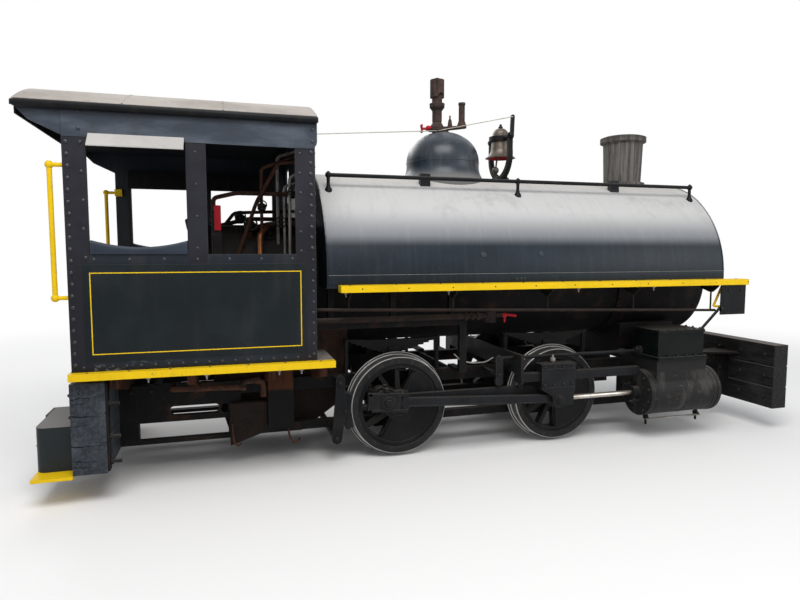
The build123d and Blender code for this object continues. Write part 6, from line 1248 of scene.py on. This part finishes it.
def build_timber_cracks():
    """Joints and shakes across the rear beam's ends."""
    # Crack: height, how far it reaches from the rear edge, width
    rows = (
        (0.690, 1.0, 0.007), (0.655, 0.45, 0.004), (0.585, 1.0, 0.009), (0.520, 0.6, 0.004),
        (0.395, 1.0, 0.008), (0.300, 0.7, 0.005), (0.262, 1.0, 0.004),
    )
    rear, front, face = -2.728, -2.533, 0.9507
    with Piece("beam_cracks", CRACK, "timber", smooth_angle=None) as cracks:
        for _ in cracks.sides():
            for z, reach, width in rows:
                lower, upper = [], []
                for share in spread(0, 1, 14):
                    z += random.uniform(-0.004, 0.004)
                    half = width * random.uniform(0.25, 0.6) * (1.02 - share * reach)
                    x = rear + (front - rear) * reach * share
                    lower.append((x, face, z - half))
                    upper.append((x, face, z + half))
                cracks.strip(lower, upper)


# Smokebox and stack

def build_smokebox_trim():
    centre = Vector((0, 0, SMOKEBOX_Z))
    with Piece("smokebox_rivets", SOOTY, "black_iron") as heads:
        for step in range(40):
            angle = 2 * math.pi * step / 40
            out = Vector((0, math.cos(angle), math.sin(angle)))
            # Round the front's edge but for the hinge, round the shell's front and under its rear
            if math.cos(angle) < 0.7:
                heads.rivet(centre + out * 0.462 + Vector((2.4395, 0, 0)), AHEAD, 0.011)
            heads.rivet(centre + out * 0.4995 + Vector((2.388, 0, 0)), out, 0.011)
            if math.sin(angle) < 0:
                heads.rivet(centre + out * 0.4995 + Vector((1.575, 0, 0)), out, 0.011)
    hub = Vector((2.520, 0, SMOKEBOX_Z))
    rim = ((0.086, -0.008), (0.098, -0.004), (0.098, 0.004), (0.086, 0.008))
    with Piece("smokebox_door_wheel", IRON, "cast", body="smokebox_door") as door:
        door.rod((2.480, 0, SMOKEBOX_Z), (hub.x + 0.012, 0, SMOKEBOX_Z), 0.018, segments=12)
        door.lathe(rim, hub, AHEAD, 32, ring_shaped=True)
        for turn in (0, math.pi / 3, 2 * math.pi / 3):
            arm = Vector((0, math.cos(turn), math.sin(turn))) * 0.09
            door.rod(hub - arm, hub + arm, 0.007, segments=8)
        door.bolt_circle(8, (2.4635, 0, SMOKEBOX_Z), AHEAD, 0.300, 0.013, 0.012)


# Floor, light and camera

WHITE = (1, 1, 1, 1)


def build_floor():
    """Paper floor that fades to the white of the background with distance."""
    made = bmesh.new()
    bmesh.ops.create_grid(made, x_segments=1, y_segments=1, size=60)
    mesh = bpy.data.meshes.new("floor")
    made.to_mesh(mesh)
    made.free()
    floor = bpy.data.objects.new("floor", mesh)
    bpy.context.scene.collection.objects.link(floor)
    surface = bpy.data.materials.new("floor_paper")
    graph = NodeGraph(surface)
    distance = graph.vector("LENGTH", graph.add("TexCoord").outputs["Object"], (0, 0, 0), "Value")
    seen = graph.add("LightPath").outputs["Is Camera Ray"]
    faded = graph.math("MULTIPLY", graph.ramp(distance, 3.4, 10.5), seen)
    paper = graph.add("BsdfDiffuse", {"Color": (0.82, 0.81, 0.80, 1)})
    glow = graph.add("Emission", {"Color": WHITE})
    graph.add("OutputMaterial", {0: graph.mixed(faded, paper, glow)})
    mesh.materials.append(surface)


def link_aimed(name, data, place, direction):
    """Links a lamp or a camera that looks in a direction."""
    made = bpy.data.objects.new(name, data)
    made.location = place
    made.rotation_euler = direction.to_track_quat("-Z", "Y").to_euler()
    bpy.context.scene.collection.objects.link(made)
    return made


def build_light():
    """Pale blue light all round, seen as white, and three lamps."""
    world = bpy.data.worlds.new("studio")
    bpy.context.scene.world = world
    graph = NodeGraph(world)
    rays = graph.add("LightPath").outputs
    seen = graph.math("MAXIMUM", rays["Is Camera Ray"], rays["Is Glossy Ray"])
    seen = graph.math("MAXIMUM", seen, rays["Is Transmission Ray"])
    light = graph.add("Background", {"Color": (0.93, 0.96, 1.0, 1), "Strength": 0.55})
    white = graph.add("Background", {"Color": WHITE})
    graph.add("OutputWorld", {0: graph.mixed(seen, light, white)})

    # Lamp: place, aim, width, depth, power
    lamps = {
        "key": ((-1.5, -5.5, 8.0), (0, 0, 1.0), 6.0, 4.0, 620),
        "fill": ((6.5, -6.5, 3.5), (0.8, 0, 1.0), 4.0, 3.0, 150),
        "back": ((-2.0, 6.5, 6.0), (0, 0, 1.2), 6.0, 3.0, 260),
    }
    for name, (place, aim, width, depth, power) in lamps.items():
        data = bpy.data.lights.new(name, "AREA")
        data.shape = "RECTANGLE"
        data.size = width
        data.size_y = depth
        data.energy = power
        link_aimed(name, data, place, Vector(aim) - Vector(place))


def build_camera():
    """The photograph's place and angle: 16.5 degrees round from square on, 4.8 degrees down."""
    turn = math.radians(16.5)
    dip = math.radians(4.8)
    data = bpy.data.cameras.new("camera")
    data.sensor_width = 36
    data.lens = 27
    ahead = Vector((math.sin(turn) * math.cos(dip), math.cos(turn) * math.cos(dip), -math.sin(dip)))
    bpy.context.scene.camera = link_aimed("camera", data, (-1.81, -4.9995, 1.609), ahead)


for name, side in SIDES.items():
    build_cab_posts(name, side)
    build_cab_panel(name, side)
    build_cab_rivets(name, side)
    build_window_guides(name, side)
    build_main_rod(name, side)
    build_side_rod(name, side)
    build_crosshead(name, side)
    build_cylinder_trim(name, side)
    build_chest_trim(name, side)
    build_board_trim(name, side)
build_window_header()
build_roof_trim()
build_cab_front_trim()
build_cab_pipes()
build_cab_valves()
build_cab_controls()
build_tank_trim()
build_dome_trim()
build_bell_trim()
build_wheel_trim()
build_frame_trim()
for name, side in SIDES.items():
    build_underframe_pipes(name, side)
build_beam_trim()
build_timber_cracks()
build_smokebox_trim()

build_floor()
build_light()
build_camera()
bpy.context.scene.view_settings.view_transform = "Standard"
